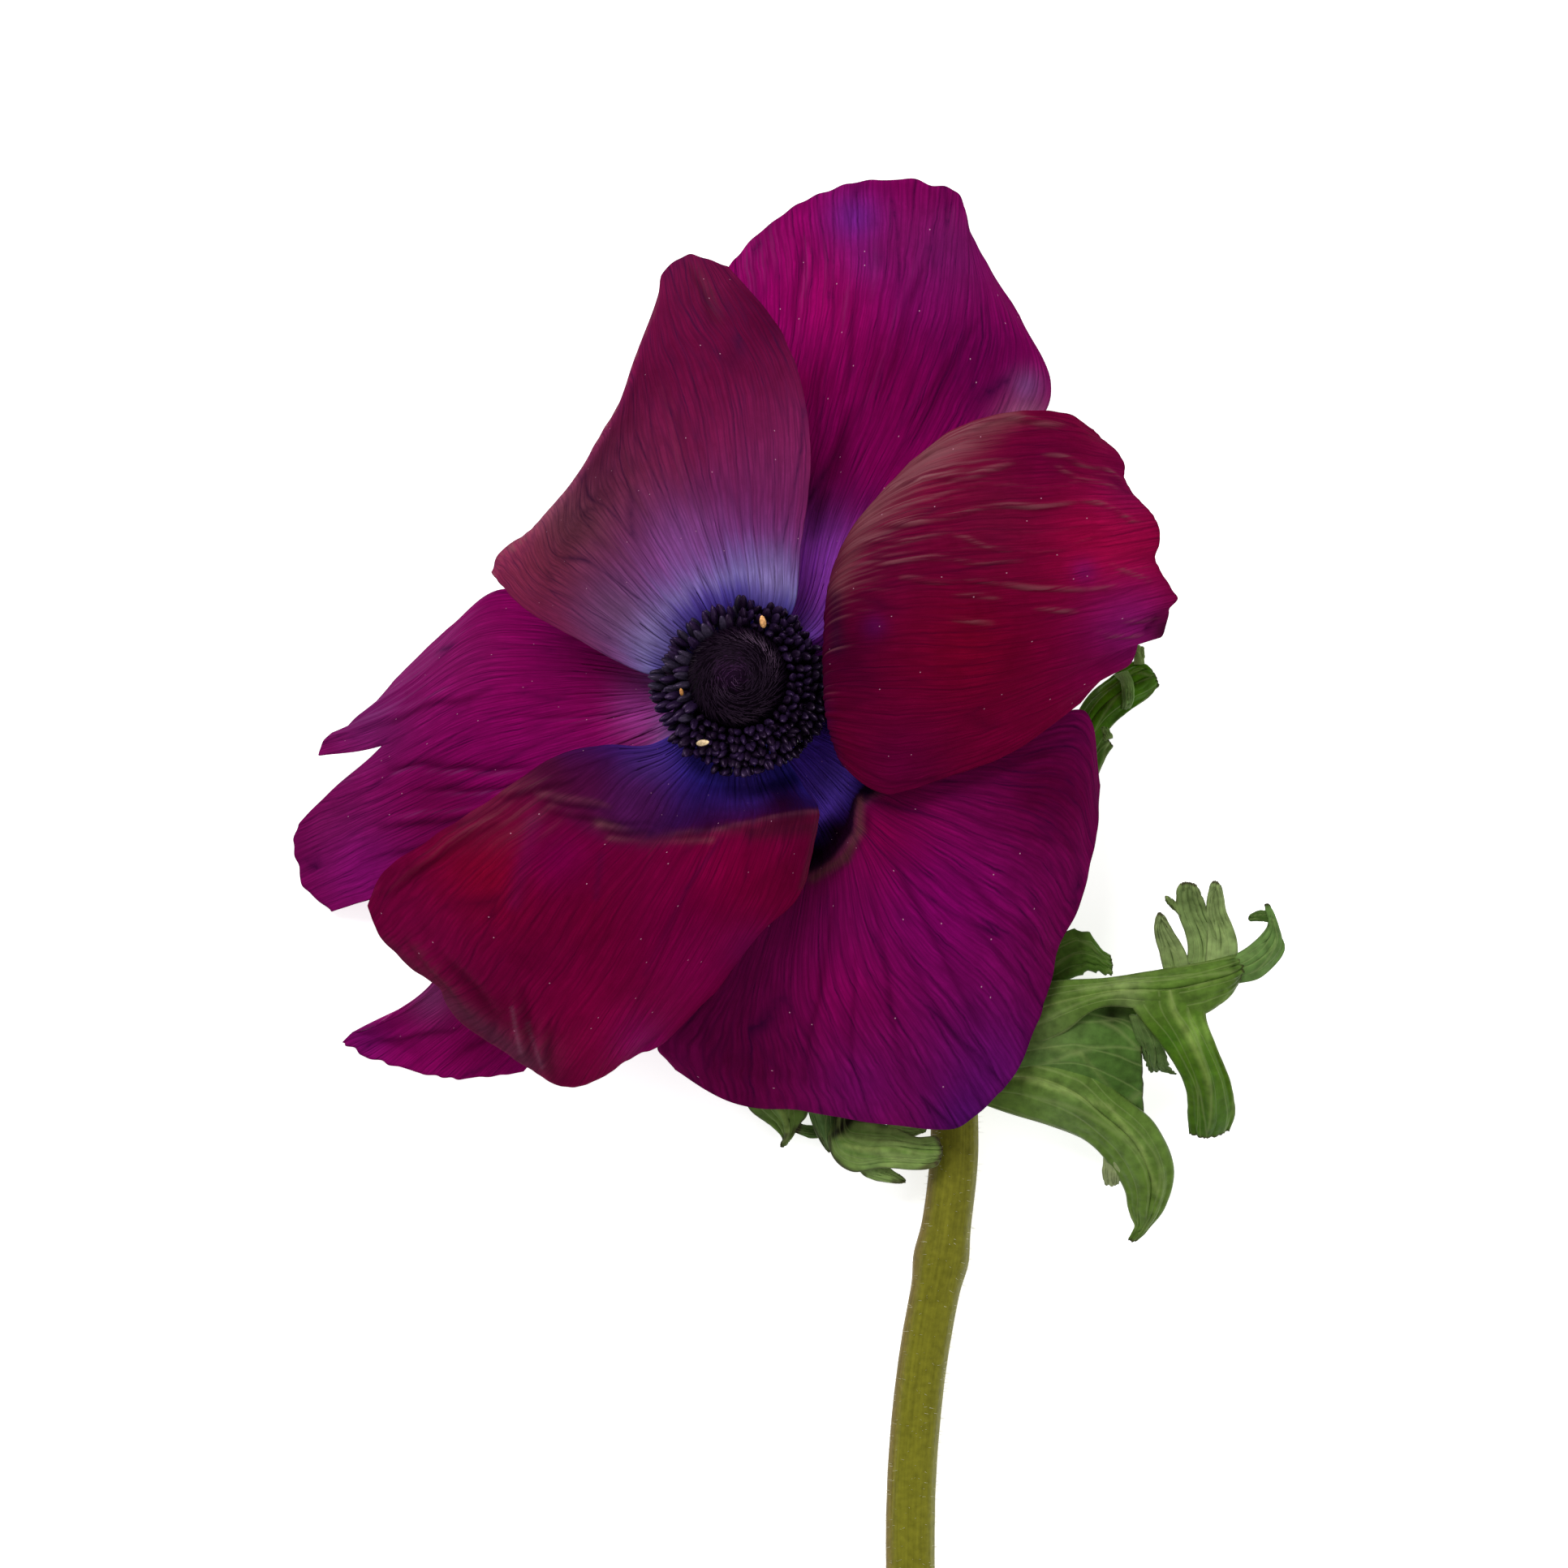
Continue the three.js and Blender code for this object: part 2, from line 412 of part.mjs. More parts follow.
// Tube of changing radius along a curve, made by bending a closed cylinder
function stemGeometry() {
  const curve = new THREE.CatmullRomCurve3(STEM_POINTS.map((p) => new THREE.Vector3(...p)));
  const tube = new THREE.CylinderGeometry(1, 1, 1, STEM_SIDES, STEM_STEPS);
  const position = tube.attributes.position;
  const across = new THREE.Vector3();
  const upward = new THREE.Vector3();
  for (let k = 0; k < position.count; k += 1) {
    const t = position.getY(k) + 0.5;
    const tangent = curve.getTangentAt(t);
    across.set(tangent.y, -tangent.x, 0).normalize();
    upward.crossVectors(across, tangent);
    const swell = 0.35 * Math.exp(-(((t - RUFF_AT) / 0.012) ** 2));
    const slim = THREE.MathUtils.smoothstep(t, RUFF_AT, 0.92);
    const radius = STEM_RADIUS - 0.35 * slim + swell;
    const point = curve.getPointAt(t);
    point.addScaledVector(across, -position.getX(k) * radius);
    point.addScaledVector(upward, -position.getZ(k) * radius);
    position.setXYZ(k, point.x, point.y, Math.max(point.z, 0));
  }
  const receptacle = new THREE.LatheGeometry([
    new THREE.Vector2(0, 15.6),
    new THREE.Vector2(1.6, 16),
    new THREE.Vector2(2.9, 17.6),
    new THREE.Vector2(RECEPTACLE_RADIUS, 20),
    new THREE.Vector2(RECEPTACLE_RADIUS, RECEPTACLE_TOP),
    new THREE.Vector2(0, RECEPTACLE_TOP),
  ], 18);
  receptacle.rotateX(Math.PI / 2);
  return fuse([tube, receptacle]);
}

// One stamen: a thin thread widening into a blunt anther
function stamen(root, tip) {
  const length = root.distanceTo(tip);
  const profile = [[0, 0], [0.42, 0], [ANTHER_RADIUS, 0.64], [0.6, 0.94], [0, 1]];
  const geometry = new THREE.LatheGeometry(
    profile.map(([x, y]) => new THREE.Vector2(x, y * length)), 5);
  const direction = tip.clone().sub(root).normalize();
  const turn = new THREE.Quaternion().setFromUnitVectors(new THREE.Vector3(0, 1, 0), direction);
  geometry.applyQuaternion(turn);
  geometry.translate(root.x, root.y, root.z);
  return geometry;
}

function stamensGeometry() {
  const random = seededRandom(STAMEN_SEED);
  const disc = new THREE.CylinderGeometry(
    DISC_RADIUS, DISC_RADIUS, DISC_TOP - DISC_BOTTOM, 30);
  disc.rotateX(Math.PI / 2);
  disc.translate(0, 0, (DISC_TOP + DISC_BOTTOM) / 2);
  const pieces = [disc];
  STAMENS_PER_ROW.forEach((number, row) => {
    const share = row / (STAMENS_PER_ROW.length - 1);
    for (let k = 0; k < number; k += 1) {
      const angle = (2 * Math.PI * (k + 0.5 * (row % 2) + 0.3 * (random() - 0.5))) / number;
      const across = Math.cos(angle);
      const up = Math.sin(angle);
      const inner = DOME_RADIUS + ANTHER_RADIUS + 0.55;
      const from = [DOME_SHIFT[0] + inner * across, DOME_SHIFT[1] + inner * up];
      const room = RING_RADIUS - Math.hypot(...from);
      const crowded = row < 2 && room * (1 - share) < 1;
      const height = random();
      if (crowded) continue;
      const x = Math.min(from[0] + (RING_RADIUS * across - from[0]) * share, RING_RIGHT);
      const y = from[1] + (RING_RADIUS * up - from[1]) * share;
      const z = 28.9 - 1.3 * share + 0.13 * x - 0.16 * y + 0.7 * height;
      const lean = 4.25 / Math.hypot(x, y);
      const root = new THREE.Vector3(x * lean, y * lean, DISC_TOP - 0.5);
      pieces.push(stamen(root, new THREE.Vector3(x, y, z)));
    }
  });
  return fuse(pieces);
}

// Domed pistil, its surface raised in rows of small bumps
function domeGeometry() {
  const sides = 24;
  const rings = 7;
  const profile = [new THREE.Vector2(0, DOME_BOTTOM), new THREE.Vector2(3, DOME_BOTTOM)];
  profile.push(new THREE.Vector2(3.7, DOME_BOTTOM + 1));
  for (let k = 0; k <= rings; k += 1) {
    const angle = (k / rings) * (Math.PI / 2);
    const rise = (DOME_TOP - DOME_EQUATOR) * Math.sin(angle);
    profile.push(new THREE.Vector2(DOME_RADIUS * Math.cos(angle), DOME_EQUATOR + rise));
  }
  profile[profile.length - 1].x = 0;
  const dome = new THREE.LatheGeometry(profile, sides);
  dome.rotateX(Math.PI / 2);
  dome.deleteAttribute('normal');
  dome.deleteAttribute('uv');
  const geometry = BufferGeometryUtils.mergeVertices(dome, 1e-4);
  const position = geometry.attributes.position;
  const centre = new THREE.Vector3(0, 0, DOME_EQUATOR);
  for (let k = 0; k < position.count; k += 1) {
    const point = new THREE.Vector3().fromBufferAttribute(position, k);
    if (point.z > DOME_EQUATOR) {
      const turn = Math.atan2(point.y, point.x);
      const rise = Math.min((point.z - DOME_EQUATOR) / (DOME_TOP - DOME_EQUATOR), 1);
      const level = Math.round((rings * Math.asin(rise)) / (Math.PI / 2));
      const bump = level === rings ? 0 : 0.12 * Math.cos(turn * (sides / 2) + Math.PI * level);
      point.sub(centre).multiplyScalar(1 + bump / DOME_RADIUS).add(centre);
    }
    const share = Math.min((point.z - DOME_BOTTOM) / (DOME_EQUATOR - DOME_BOTTOM), 1);
    position.setXYZ(k, point.x + DOME_SHIFT[0] * share, point.y + DOME_SHIFT[1] * share, point.z);
  }
  return geometry;
}

function piece(name, geometry, color, roughness) {
  const material = new THREE.MeshStandardMaterial({ color, roughness, metalness: 0 });
  const mesh = new THREE.Mesh(geometry, material);
  mesh.name = name;
  return mesh;
}

const flower = new THREE.Group();
const bloom = new THREE.Group();
bloom.position.set(BLOOM_X, BLOOM_Y, 0);
flower.add(bloom);

bloom.add(piece('stem', stemGeometry(), 0x727022, 0.6));
for (const [name, leaf] of Object.entries(LEAVES)) {
  bloom.add(piece(name, leafGeometry(leaf), leaf.colour, 0.5));
}
for (const [name, petal] of Object.entries(PETALS)) {
  bloom.add(piece(name, petalGeometry(petal), petal.colour, 0.65));
}
bloom.add(piece('stamens', stamensGeometry(), 0x17121f, 0.5));
bloom.add(piece('pistil_dome', domeGeometry(), 0x1d0c26, 0.6));

export default flower;
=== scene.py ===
# %% [markdown]
# A cut garden anemone lies on its back on a pale table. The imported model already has
# every piece in its place, as plain solids. This lesson loads it and gives each solid a
# finer piece with the colours, veins, hairs and velvet of the real flower.

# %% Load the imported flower
import math

import bmesh
import bpy
import numpy as np
from mathutils import Matrix, Vector


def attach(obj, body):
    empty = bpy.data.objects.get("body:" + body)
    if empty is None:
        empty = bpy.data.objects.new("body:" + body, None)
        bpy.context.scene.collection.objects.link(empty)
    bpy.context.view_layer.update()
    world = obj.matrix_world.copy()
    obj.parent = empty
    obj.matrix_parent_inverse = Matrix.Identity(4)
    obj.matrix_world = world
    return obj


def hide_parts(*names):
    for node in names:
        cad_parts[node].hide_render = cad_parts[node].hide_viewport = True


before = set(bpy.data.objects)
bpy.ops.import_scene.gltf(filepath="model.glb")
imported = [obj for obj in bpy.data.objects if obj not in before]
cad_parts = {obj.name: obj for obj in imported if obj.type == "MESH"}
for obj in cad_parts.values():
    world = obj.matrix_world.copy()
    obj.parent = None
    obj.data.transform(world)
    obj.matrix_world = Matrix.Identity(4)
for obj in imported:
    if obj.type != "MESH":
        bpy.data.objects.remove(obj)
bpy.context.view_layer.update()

print("nodes:", sorted(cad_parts))

# %% [markdown]
# A long lens, held straight above the flower, keeps near and far petals almost the same
# size, as in the photograph. The frame covers 154.6 mm at the height of the bloom.

# %% Camera above the bloom
MM = 0.001
BLOOM = np.array([-4.0, 56.7, 0.0])  # middle of the bloom in the part's frame, mm
AIM = (0.08, 47.26)                  # what the camera points at, mm
BLOOM_HEIGHT = 25.0                  # mm
CAMERA_RISE = 1500.0                 # above the bloom, mm
FRAME_SIDE = 154.56                  # what the frame covers at the bloom, mm
SENSOR_WIDTH = 36.0                  # mm

camera_data = bpy.data.cameras.new("camera")
camera_data.sensor_width = SENSOR_WIDTH
camera_data.lens = SENSOR_WIDTH * CAMERA_RISE / FRAME_SIDE
camera_data.clip_end = 50
camera = bpy.data.objects.new("camera", camera_data)
camera.location = (AIM[0] * MM, AIM[1] * MM, (BLOOM_HEIGHT + CAMERA_RISE) * MM)
bpy.context.scene.collection.objects.link(camera)
bpy.context.scene.camera = camera
print("lens in mm:", round(camera_data.lens, 1))

# %% [markdown]
# Materials are graphs of nodes. One small function adds a node, with its settings and
# with what is joined to its sockets. Colours are written as they look on a screen and
# turned to the linear values that light adds up in.

# %% A node and a colour
def linear(hexcode):
    """Linear red, green and blue of a screen colour such as '7a0a40'."""
    shares = [int(hexcode[i:i + 2], 16) / 255 for i in (0, 2, 4)]
    return [s / 12.92 if s <= 0.04045 else ((s + 0.055) / 1.055) ** 2.4 for s in shares]


def add(tree, kind, inputs=None, stops=None, **settings):
    """A node with its settings, its inputs set or joined, and its ramp's stops."""
    made = tree.nodes.new(kind)
    for key, value in settings.items():
        setattr(made, key, value)
    for key, value in (inputs or {}).items():
        if isinstance(value, bpy.types.NodeSocket):
            tree.links.new(value, made.inputs[key])
        else:
            made.inputs[key].default_value = value
    for k, (place, value) in enumerate(stops or []):
        ramp = made.color_ramp.elements
        stop = ramp[k] if k < 2 else ramp.new(place)
        stop.position = place
        stop.color = (value, value, value, 1) if isinstance(value, float) else (*linear(value), 1)
    return made


def new_material(name, roughness, specular, sheen=0.0, sheen_tint="ffffff", gloss_tint="ffffff",
                 ior=1.45):
    """An opaque plant tissue: its material, its tree of nodes and its shader."""
    material = bpy.data.materials.new(name)
    material.use_nodes = True
    tree = material.node_tree
    shader = tree.nodes["Principled BSDF"]
    sockets = {"Roughness": roughness, "IOR": ior, "Specular IOR Level": specular,
               "Specular Tint": (*linear(gloss_tint), 1), "Sheen Weight": sheen,
               "Sheen Roughness": 0.35, "Sheen Tint": (*linear(sheen_tint), 1)}
    for socket, value in sockets.items():
        shader.inputs[socket].default_value = value
    return material, tree, shader


print("screen colour 7a0a40 is linear", [round(c, 4) for c in linear("7a0a40")])

# %% [markdown]
# The flower was photographed on pure white. A white table that is lit a little from
# within, a very wide soft light above and a pale sky give the same even light, with only
# a faint shadow where the petals touch the table.

# %% Table
TABLE_REACH = 4.0      # from its middle to each side, m
TABLE_DROP = 0.0001    # just under the flower, m


def table_material():
    """Acrylic sheet, matt and lit from within, with a faint mottle 25 mm wide."""
    material, tree, shader = new_material("white acrylic light table", 0.6, 0.2)
    place = add(tree, "ShaderNodeTexCoord").outputs["Object"]
    grain = add(tree, "ShaderNodeTexNoise", {"Vector": place, "Scale": 40.0})
    tone = add(tree, "ShaderNodeValToRGB", {"Fac": grain.outputs["Fac"]},
               stops=[(0.0, "f2f2f2"), (1.0, "f8f8f8")])
    tree.links.new(tone.outputs["Color"], shader.inputs["Base Color"])
    shader.inputs["Emission Color"].default_value = (1, 1, 1, 1)
    shader.inputs["Emission Strength"].default_value = 0.7
    return material


def finished(name, bm, *materials):
    """The object of a finished mesh, at the origin."""
    mesh = bpy.data.meshes.new(name)
    bm.to_mesh(mesh)
    bm.free()
    for material in materials:
        mesh.materials.append(material)
    made = bpy.data.objects.new(name, mesh)
    bpy.context.scene.collection.objects.link(made)
    return made


bm = bmesh.new()
bmesh.ops.create_grid(bm, x_segments=4, y_segments=4, size=TABLE_REACH)
bmesh.ops.translate(bm, verts=bm.verts, vec=(0, 0, -TABLE_DROP))
table = finished("table", bm, table_material())
print("table reaches, in m:", TABLE_REACH)

# %% [markdown]
# Two round lamps and the sky light the flower. The strong one hangs beyond the bloom's
# upper left, where the photograph's light comes from. The weak one is wider and lifts the
# shadows on the other side.

# %% Soft lights and sky
LIT_SPOT = (0, 0.05, 0.02)  # what both lamps point at, m


def soft_light(name, place, width, power):
    """A round lamp that the camera doesn't see, in metres and watts."""
    data = bpy.data.lights.new(name, "AREA")
    data.shape = "DISK"
    data.size = width
    data.energy = power
    light = bpy.data.objects.new(name, data)
    light.location = place
    light.rotation_mode = "QUATERNION"
    light.rotation_quaternion = (Vector(LIT_SPOT) - Vector(place)).to_track_quat("-Z", "Y")
    light.visible_camera = False
    bpy.context.scene.collection.objects.link(light)


soft_light("key_light", (-0.35, 0.75, 1.1), 0.7, 12.5)
soft_light("fill_light", (0.8, -0.2, 0.9), 1.0, 2.5)

world = bpy.data.worlds.new("pale sky")
world.use_nodes = True
sky = world.node_tree.nodes["Background"]
sky.inputs["Color"].default_value = (1, 1, 1, 1)
sky.inputs["Strength"].default_value = 0.42
bpy.context.scene.world = world
bpy.context.scene.view_settings.view_transform = "Standard"

# %% [markdown]
# A petal is a thin sheet that curls in every direction. It could be sculpted from a
# plane, but then its size is hard to hold. Here it is drawn as a net of points, from its
# base to its margin, each row from its left side to its right, and a smooth curve is run
# through them both ways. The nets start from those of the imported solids, so the finer
# sheets lie where the solids lie. Some rows are moved a little or have more points, to
# follow the photograph's margins. All are in millimetres round the bloom's middle.

# %% Nets of the seven petals
PETAL_NETS = {
    "petal_inner_upper_left": [
        ((-4.1, 1, 23), (-3.7, 2.1, 23), (-2.9, 3.1, 23), (-1.8, 3.8, 23), (-0.6, 4.2, 23),
         (0.7, 4.15, 23), (1.8, 3.8, 23.1)),
        ((-8.4, 1.2, 24.6), (-8.2, 3.5, 24.2), (-6.9, 6, 24), (-4.6, 8, 24), (-1.7, 9.1, 24.2),
         (1.8, 9.2, 24.8), (5, 7.8, 25.8)),
        ((-12, 2.5, 26.8), (-12.4, 6.1, 26), (-10.9, 9.9, 25.6), (-7.9, 12.9, 25.5), (-3.6, 14.8, 25.9),
         (1.2, 15.3, 27), (5.7, 13.7, 28.6)),
        ((-17, 5.2, 29.2), (-17.2, 9.5, 29), (-15.2, 14.4, 28.6), (-11.2, 18.8, 28.2), (-5.6, 21.7, 28.2),
         (0.9, 22.8, 29.2), (6.7, 21.2, 31)),
        ((-21.2, 7.6, 31.4), (-20, 11.4, 32.2), (-17, 16.1, 31.8), (-12.6, 22.2, 31), (-7.4, 28.5, 30.4),
         (-0.4, 31, 30.8), (6.1, 28.6, 32.4)),
        ((-24, 10.4, 32.4), (-21.3, 14, 33.8), (-17, 19.2, 33.8), (-12.2, 27, 33.2), (-8.9, 34, 32.4),
         (-4, 37.4, 31.2), (3.6, 35.4, 32.2)),
        ((-24.9, 11.4, 31), (-23.9, 13, 31.5), (-21.4, 14.9, 31.6), (-19.6, 16.8, 31.6),
         (-17.5, 19.3, 31.6), (-15, 22.3, 31.6), (-12.7, 26.8, 31.6), (-10.5, 32, 31.5),
         (-8.4, 38.4, 31.4), (-7.7, 41, 31.4), (-5.4, 42.6, 31.4), (-3.6, 42.2, 31.4), (-1.4, 41.4, 31.6)),
    ],
    "petal_inner_right": [
        ((2.8, 3.2, 23.1), (3.5, 2.4, 23), (4, 1.3, 23), (4.2, 0.2, 23), (4.1, -0.9, 23), (3.8, -1.9, 23),
         (3.3, -2.7, 23.1)),
        ((8.7, 6.3, 25.4), (9.1, 4.9, 25.6), (9.4, 3.2, 25.8), (9.5, 0.9, 26), (9.4, -1.6, 25.8),
         (9.3, -3.6, 25.4), (9, -5, 24.8)),
        ((13, 17.8, 27.5), (10.3, 14.6, 30.5), (8.8, 10.6, 32), (8.3, 6, 32.5), (8.25, 1.4, 32),
         (8.6, -3.2, 30.8), (9.9, -7.6, 28.2)),
        ((19.5, 24.6, 29), (16.8, 19.6, 34), (15.2, 13.8, 36.2), (14.6, 8, 36.8), (14.6, 2.2, 36.2),
         (14.4, -4, 33.6), (14, -10.4, 28.6)),
        ((25.5, 27, 29), (24.4, 21, 34), (23.8, 14.8, 36.4), (23.2, 8.4, 36.8), (22.6, 2.2, 36),
         (21.4, -3.2, 32.8), (20, -8.8, 27.6)),
        ((31.5, 27.2, 26.5), (31.8, 21.5, 30.6), (32.4, 15.5, 32.4), (32.4, 9.5, 32.6), (31.4, 4, 31.6),
         (29.2, -0.6, 29), (26.5, -6.3, 25.4)),
        ((34.6, 25.6, 24), (36.5, 23.7, 24.6), (37.7, 21.9, 25), (38.1, 20, 25.6), (39.3, 18.3, 25.6),
         (40.7, 16.6, 25.8), (41.3, 14.7, 26), (40.9, 12.5, 26.4), (41.9, 10.6, 26.2), (42.9, 8.9, 25.8),
         (42, 7.4, 25.8), (41.5, 5.2, 25.2), (39.5, 5.1, 25.4), (38.4, 2.6, 25), (35.7, 1, 24.6),
         (33.2, -1.4, 24)),
    ],
    "petal_inner_lower_left": [
        ((2.1, -3.6, 23.1), (1, -4.05, 23), (-0.1, -4.2, 23), (-1.2, -4, 23), (-2.2, -3.6, 23),
         (-3, -3, 23), (-3.5, -2.4, 23.1)),
        ((4.6, -7.4, 23.6), (2.2, -8.5, 23.4), (-0.3, -8.9, 23.3), (-2.8, -8.6, 23.3), (-5.2, -7.7, 23.4),
         (-7.2, -6.6, 23.8), (-8.8, -5.5, 24.4)),
        ((6.3, -10, 26.4), (3.3, -10.8, 26.4), (0, -11.4, 26.2), (-3.8, -11.6, 26.2), (-7.8, -10.8, 26.8),
         (-11.4, -8.6, 28), (-13.6, -5.6, 28.4)),
        ((7.5, -12, 30.6), (4, -12.6, 32.4), (0, -13.4, 33.4), (-4.6, -14.2, 34), (-9.8, -14.4, 34.2),
         (-15, -12.2, 33.4), (-18.6, -6.8, 30.6)),
        ((7, -15.5, 31), (2.6, -17.5, 34), (-2.4, -19.4, 35.6), (-8.2, -20.6, 36.2), (-14.8, -19.8, 35.6),
         (-21, -16.6, 33.6), (-25.8, -11.6, 29.4)),
        ((5.6, -20.4, 27.6), (0, -23, 30.6), (-5.8, -25.8, 32.6), (-12.2, -27.4, 33.2), (-19, -26, 32.4),
         (-25.8, -21.8, 30.4), (-31.6, -15.3, 27)),
        ((1.8, -24.2, 22.6), (-3.8, -28.8, 25), (-9.8, -32, 26.6), (-16.2, -33.4, 27.2),
         (-22.8, -31, 26.8), (-29.2, -26.2, 25.4), (-35.4, -18, 23)),
        ((-2.6, -30.2, 17), (-6, -33.4, 17), (-8.6, -35.4, 17.1), (-10.2, -36.3, 17.2),
         (-12.2, -37.3, 17.5), (-14, -38.5, 17.6), (-16.6, -39.6, 17.8), (-18.9, -39.3, 17.8),
         (-20.6, -37.8, 18), (-23.4, -36.2, 18.3), (-26.4, -34.2, 18.6), (-29.4, -31.4, 18.8),
         (-30.4, -29.4, 18.9), (-33.4, -27.2, 19), (-36, -24.4, 19.2), (-37, -21.4, 19.4)),
    ],
    "petal_outer_top": [
        ((-0.4, 4.2, 21.2), (0.3, 4.2, 21.2), (1, 4.1, 21.2), (1.7, 3.85, 21.2), (2.3, 3.5, 21.2),
         (2.8, 3.1, 21.2), (3.2, 2.7, 21.2)),
        ((-1.2, 9, 21.4), (1.2, 9.3, 21), (3.4, 9, 20.8), (5.4, 8.3, 20.7), (7.2, 7.2, 20.8),
         (8.8, 5.8, 21), (10, 4.2, 21.4)),
        ((-2.8, 17, 21.4), (0.4, 17.8, 20.6), (3.8, 18, 20.2), (7.2, 17.6, 20), (10.6, 16.6, 20.2),
         (13.6, 14.8, 20.6), (16.2, 12.4, 21)),
        ((-4.2, 27, 20), (0.4, 28.4, 18.6), (5.4, 29, 17.8), (10.6, 28.8, 17.6), (15.8, 27.2, 17.8),
         (20.8, 24.2, 18.2), (24.8, 20.2, 18.8)),
        ((-4.2, 35.6, 16.4), (1, 38, 13.6), (7, 39.8, 12.4), (13.2, 40.2, 12), (19.4, 38.4, 12.2),
         (25.2, 34.2, 13), (30.6, 29.2, 15)),
        ((-2.6, 40.4, 12), (0.4, 44.4, 7.6), (6.6, 49.3, 3.2), (13.4, 51.2, -2.4), (21, 50.3, -2),
         (23.3, 44.4, 3.6), (27.6, 37.4, 8.2)),
    ],
    "petal_outer_left": [
        ((-2.8, -3.2, 21.4), (-3.8, -1.6, 21.3), (-4.15, -0.6, 21.2), (-4.2, 0.1, 21.2), (-4.15, 0.8, 21.2),
         (-4, 1.45, 21.2), (-3.6, 2.1, 21.2)),
        ((-7, -7.2, 21.6), (-8.6, -4.2, 21), (-9.1, -1.7, 20.6), (-9.2, 0, 20.6), (-9.1, 1.7, 20.6),
         (-8.7, 3.3, 20.8), (-8.1, 4.8, 21)),
        ((-14.6, -11.4, 19.8), (-16.6, -7.4, 19.3), (-17.4, -3.6, 19), (-17.6, -0.2, 19), (-17.4, 3, 19.2),
         (-16.8, 5.8, 19.6), (-15.8, 8.4, 20)),
        ((-24.4, -15.2, 15.8), (-26, -10.8, 15.2), (-26.8, -6.2, 15.2), (-27, -1.6, 15.6),
         (-26.6, 2.6, 16.2), (-25.6, 6.2, 16.8), (-23.8, 9.9, 17.6)),
        ((-34, -19.8, 9), (-36, -15.2, 8.2), (-36.6, -10.8, 8.4), (-36.2, -6.4, 9.4), (-35, -2.6, 10.4),
         (-32.6, 1.2, 11.8), (-29, 6.2, 13.4)),
        ((-41.4, -22.3, 1.4), (-44.4, -19.2, -1.6), (-45, -14.4, -1.6), (-43.2, -8.8, 1.4),
         (-41.8, -5, 4), (-38.4, -2.8, 6), (-34.2, 1.2, 8.6)),
    ],
    "petal_outer_lower_left": [
        ((-0.7, -4.15, 21.2), (-1.5, -3.95, 21.2), (-2.2, -3.6, 21.2), (-2.8, -3.15, 21.2),
         (-3.3, -2.6, 21.2)),
        ((-2.6, -9.3, 20.6), (-4.2, -8.6, 20.4), (-5.5, -7.8, 20.3), (-6.6, -7, 20.4),
         (-7.4, -6.2, 20.6)),
        ((-6.6, -17.6, 18.4), (-9.6, -16.8, 18), (-12.4, -15.4, 17.8), (-14.6, -13.6, 18),
         (-16, -12.2, 18.4)),
        ((-11.8, -26.6, 14), (-16.2, -25.6, 13.2), (-20.2, -23.6, 13), (-23, -21.4, 13.2),
         (-24.6, -19.6, 13.8)),
        ((-17.6, -33.8, 8), (-22.8, -33.2, 6.8), (-27.2, -31.4, 6.4), (-30, -30, 6.8), (-31, -29.2, 7.4)),
        ((-22, -38.2, 4.4), (-28.8, -39, 2.4), (-34.9, -37.8, -1.4), (-40.2, -35.4, -1.4),
         (-35.6, -33, 3.4)),
    ],
    "petal_outer_lower_right": [
        ((3.5, -2.35, 21.2), (3.1, -2.85, 21.2), (2.6, -3.3, 21.2), (2, -3.7, 21.2), (1.4, -3.95, 21.2),
         (0.8, -4.12, 21.2), (0.1, -4.2, 21.2)),
        ((9.2, -4.6, 20.6), (8.4, -6, 20.4), (7.4, -7.2, 20.2), (6.2, -8.2, 20.2), (4.8, -9, 20.2),
         (3.2, -9.6, 20.3), (1.4, -10, 20.5)),
        ((14.4, -5.6, 21.6), (12.6, -8, 21.2), (10.9, -10.6, 20.8), (10, -12.8, 20.4), (8.4, -14.8, 20),
         (6.4, -16.2, 19.8), (3.8, -17, 19.6)),
        ((20, -6, 23.4), (16.2, -9.6, 24.6), (12.4, -12.2, 25.2), (11.5, -15.2, 25.4), (9.2, -17.8, 24.8),
         (5.4, -19.8, 22.4), (1.6, -20.6, 19.6)),
        ((27.6, -4, 21.6), (24.4, -11, 23.8), (20.4, -17.6, 24.8), (15.8, -23.8, 24), (10.2, -28, 21.6),
         (3.4, -29.8, 18), (-3.4, -29.6, 14.6)),
        ((34, -2.2, 18), (31.2, -13.2, 19.8), (27.4, -22.4, 20.4), (22.4, -31, 19.2), (15, -36.4, 16.6),
         (5, -37.2, 13.8), (-8.6, -34.6, 11.6)),
        ((35.6, -9.6, 14.6), (35.1, -14.2, 14.8), (34.2, -18.6, 14.8), (32.8, -23, 14.6), (31, -27.4, 14.2),
         (29.4, -33, 13.4), (27, -38.4, 12.4), (23.8, -42, 11.6), (19.6, -44.1, 10.8), (13, -43.1, 10.2),
         (6.4, -42.2, 9.6), (-0.8, -41.3, 9), (-6.8, -37.8, 8.6)),
    ],
}
print("rows in each net:", {name: len(net) for name, net in PETAL_NETS.items()})

# %% [markdown]
# The smooth curve through a row is the usual one that passes through its points. It is
# worked out for all places of a grid at once. The net's own direction across and along
# gives the way a petal faces, which small creases are then raised along.

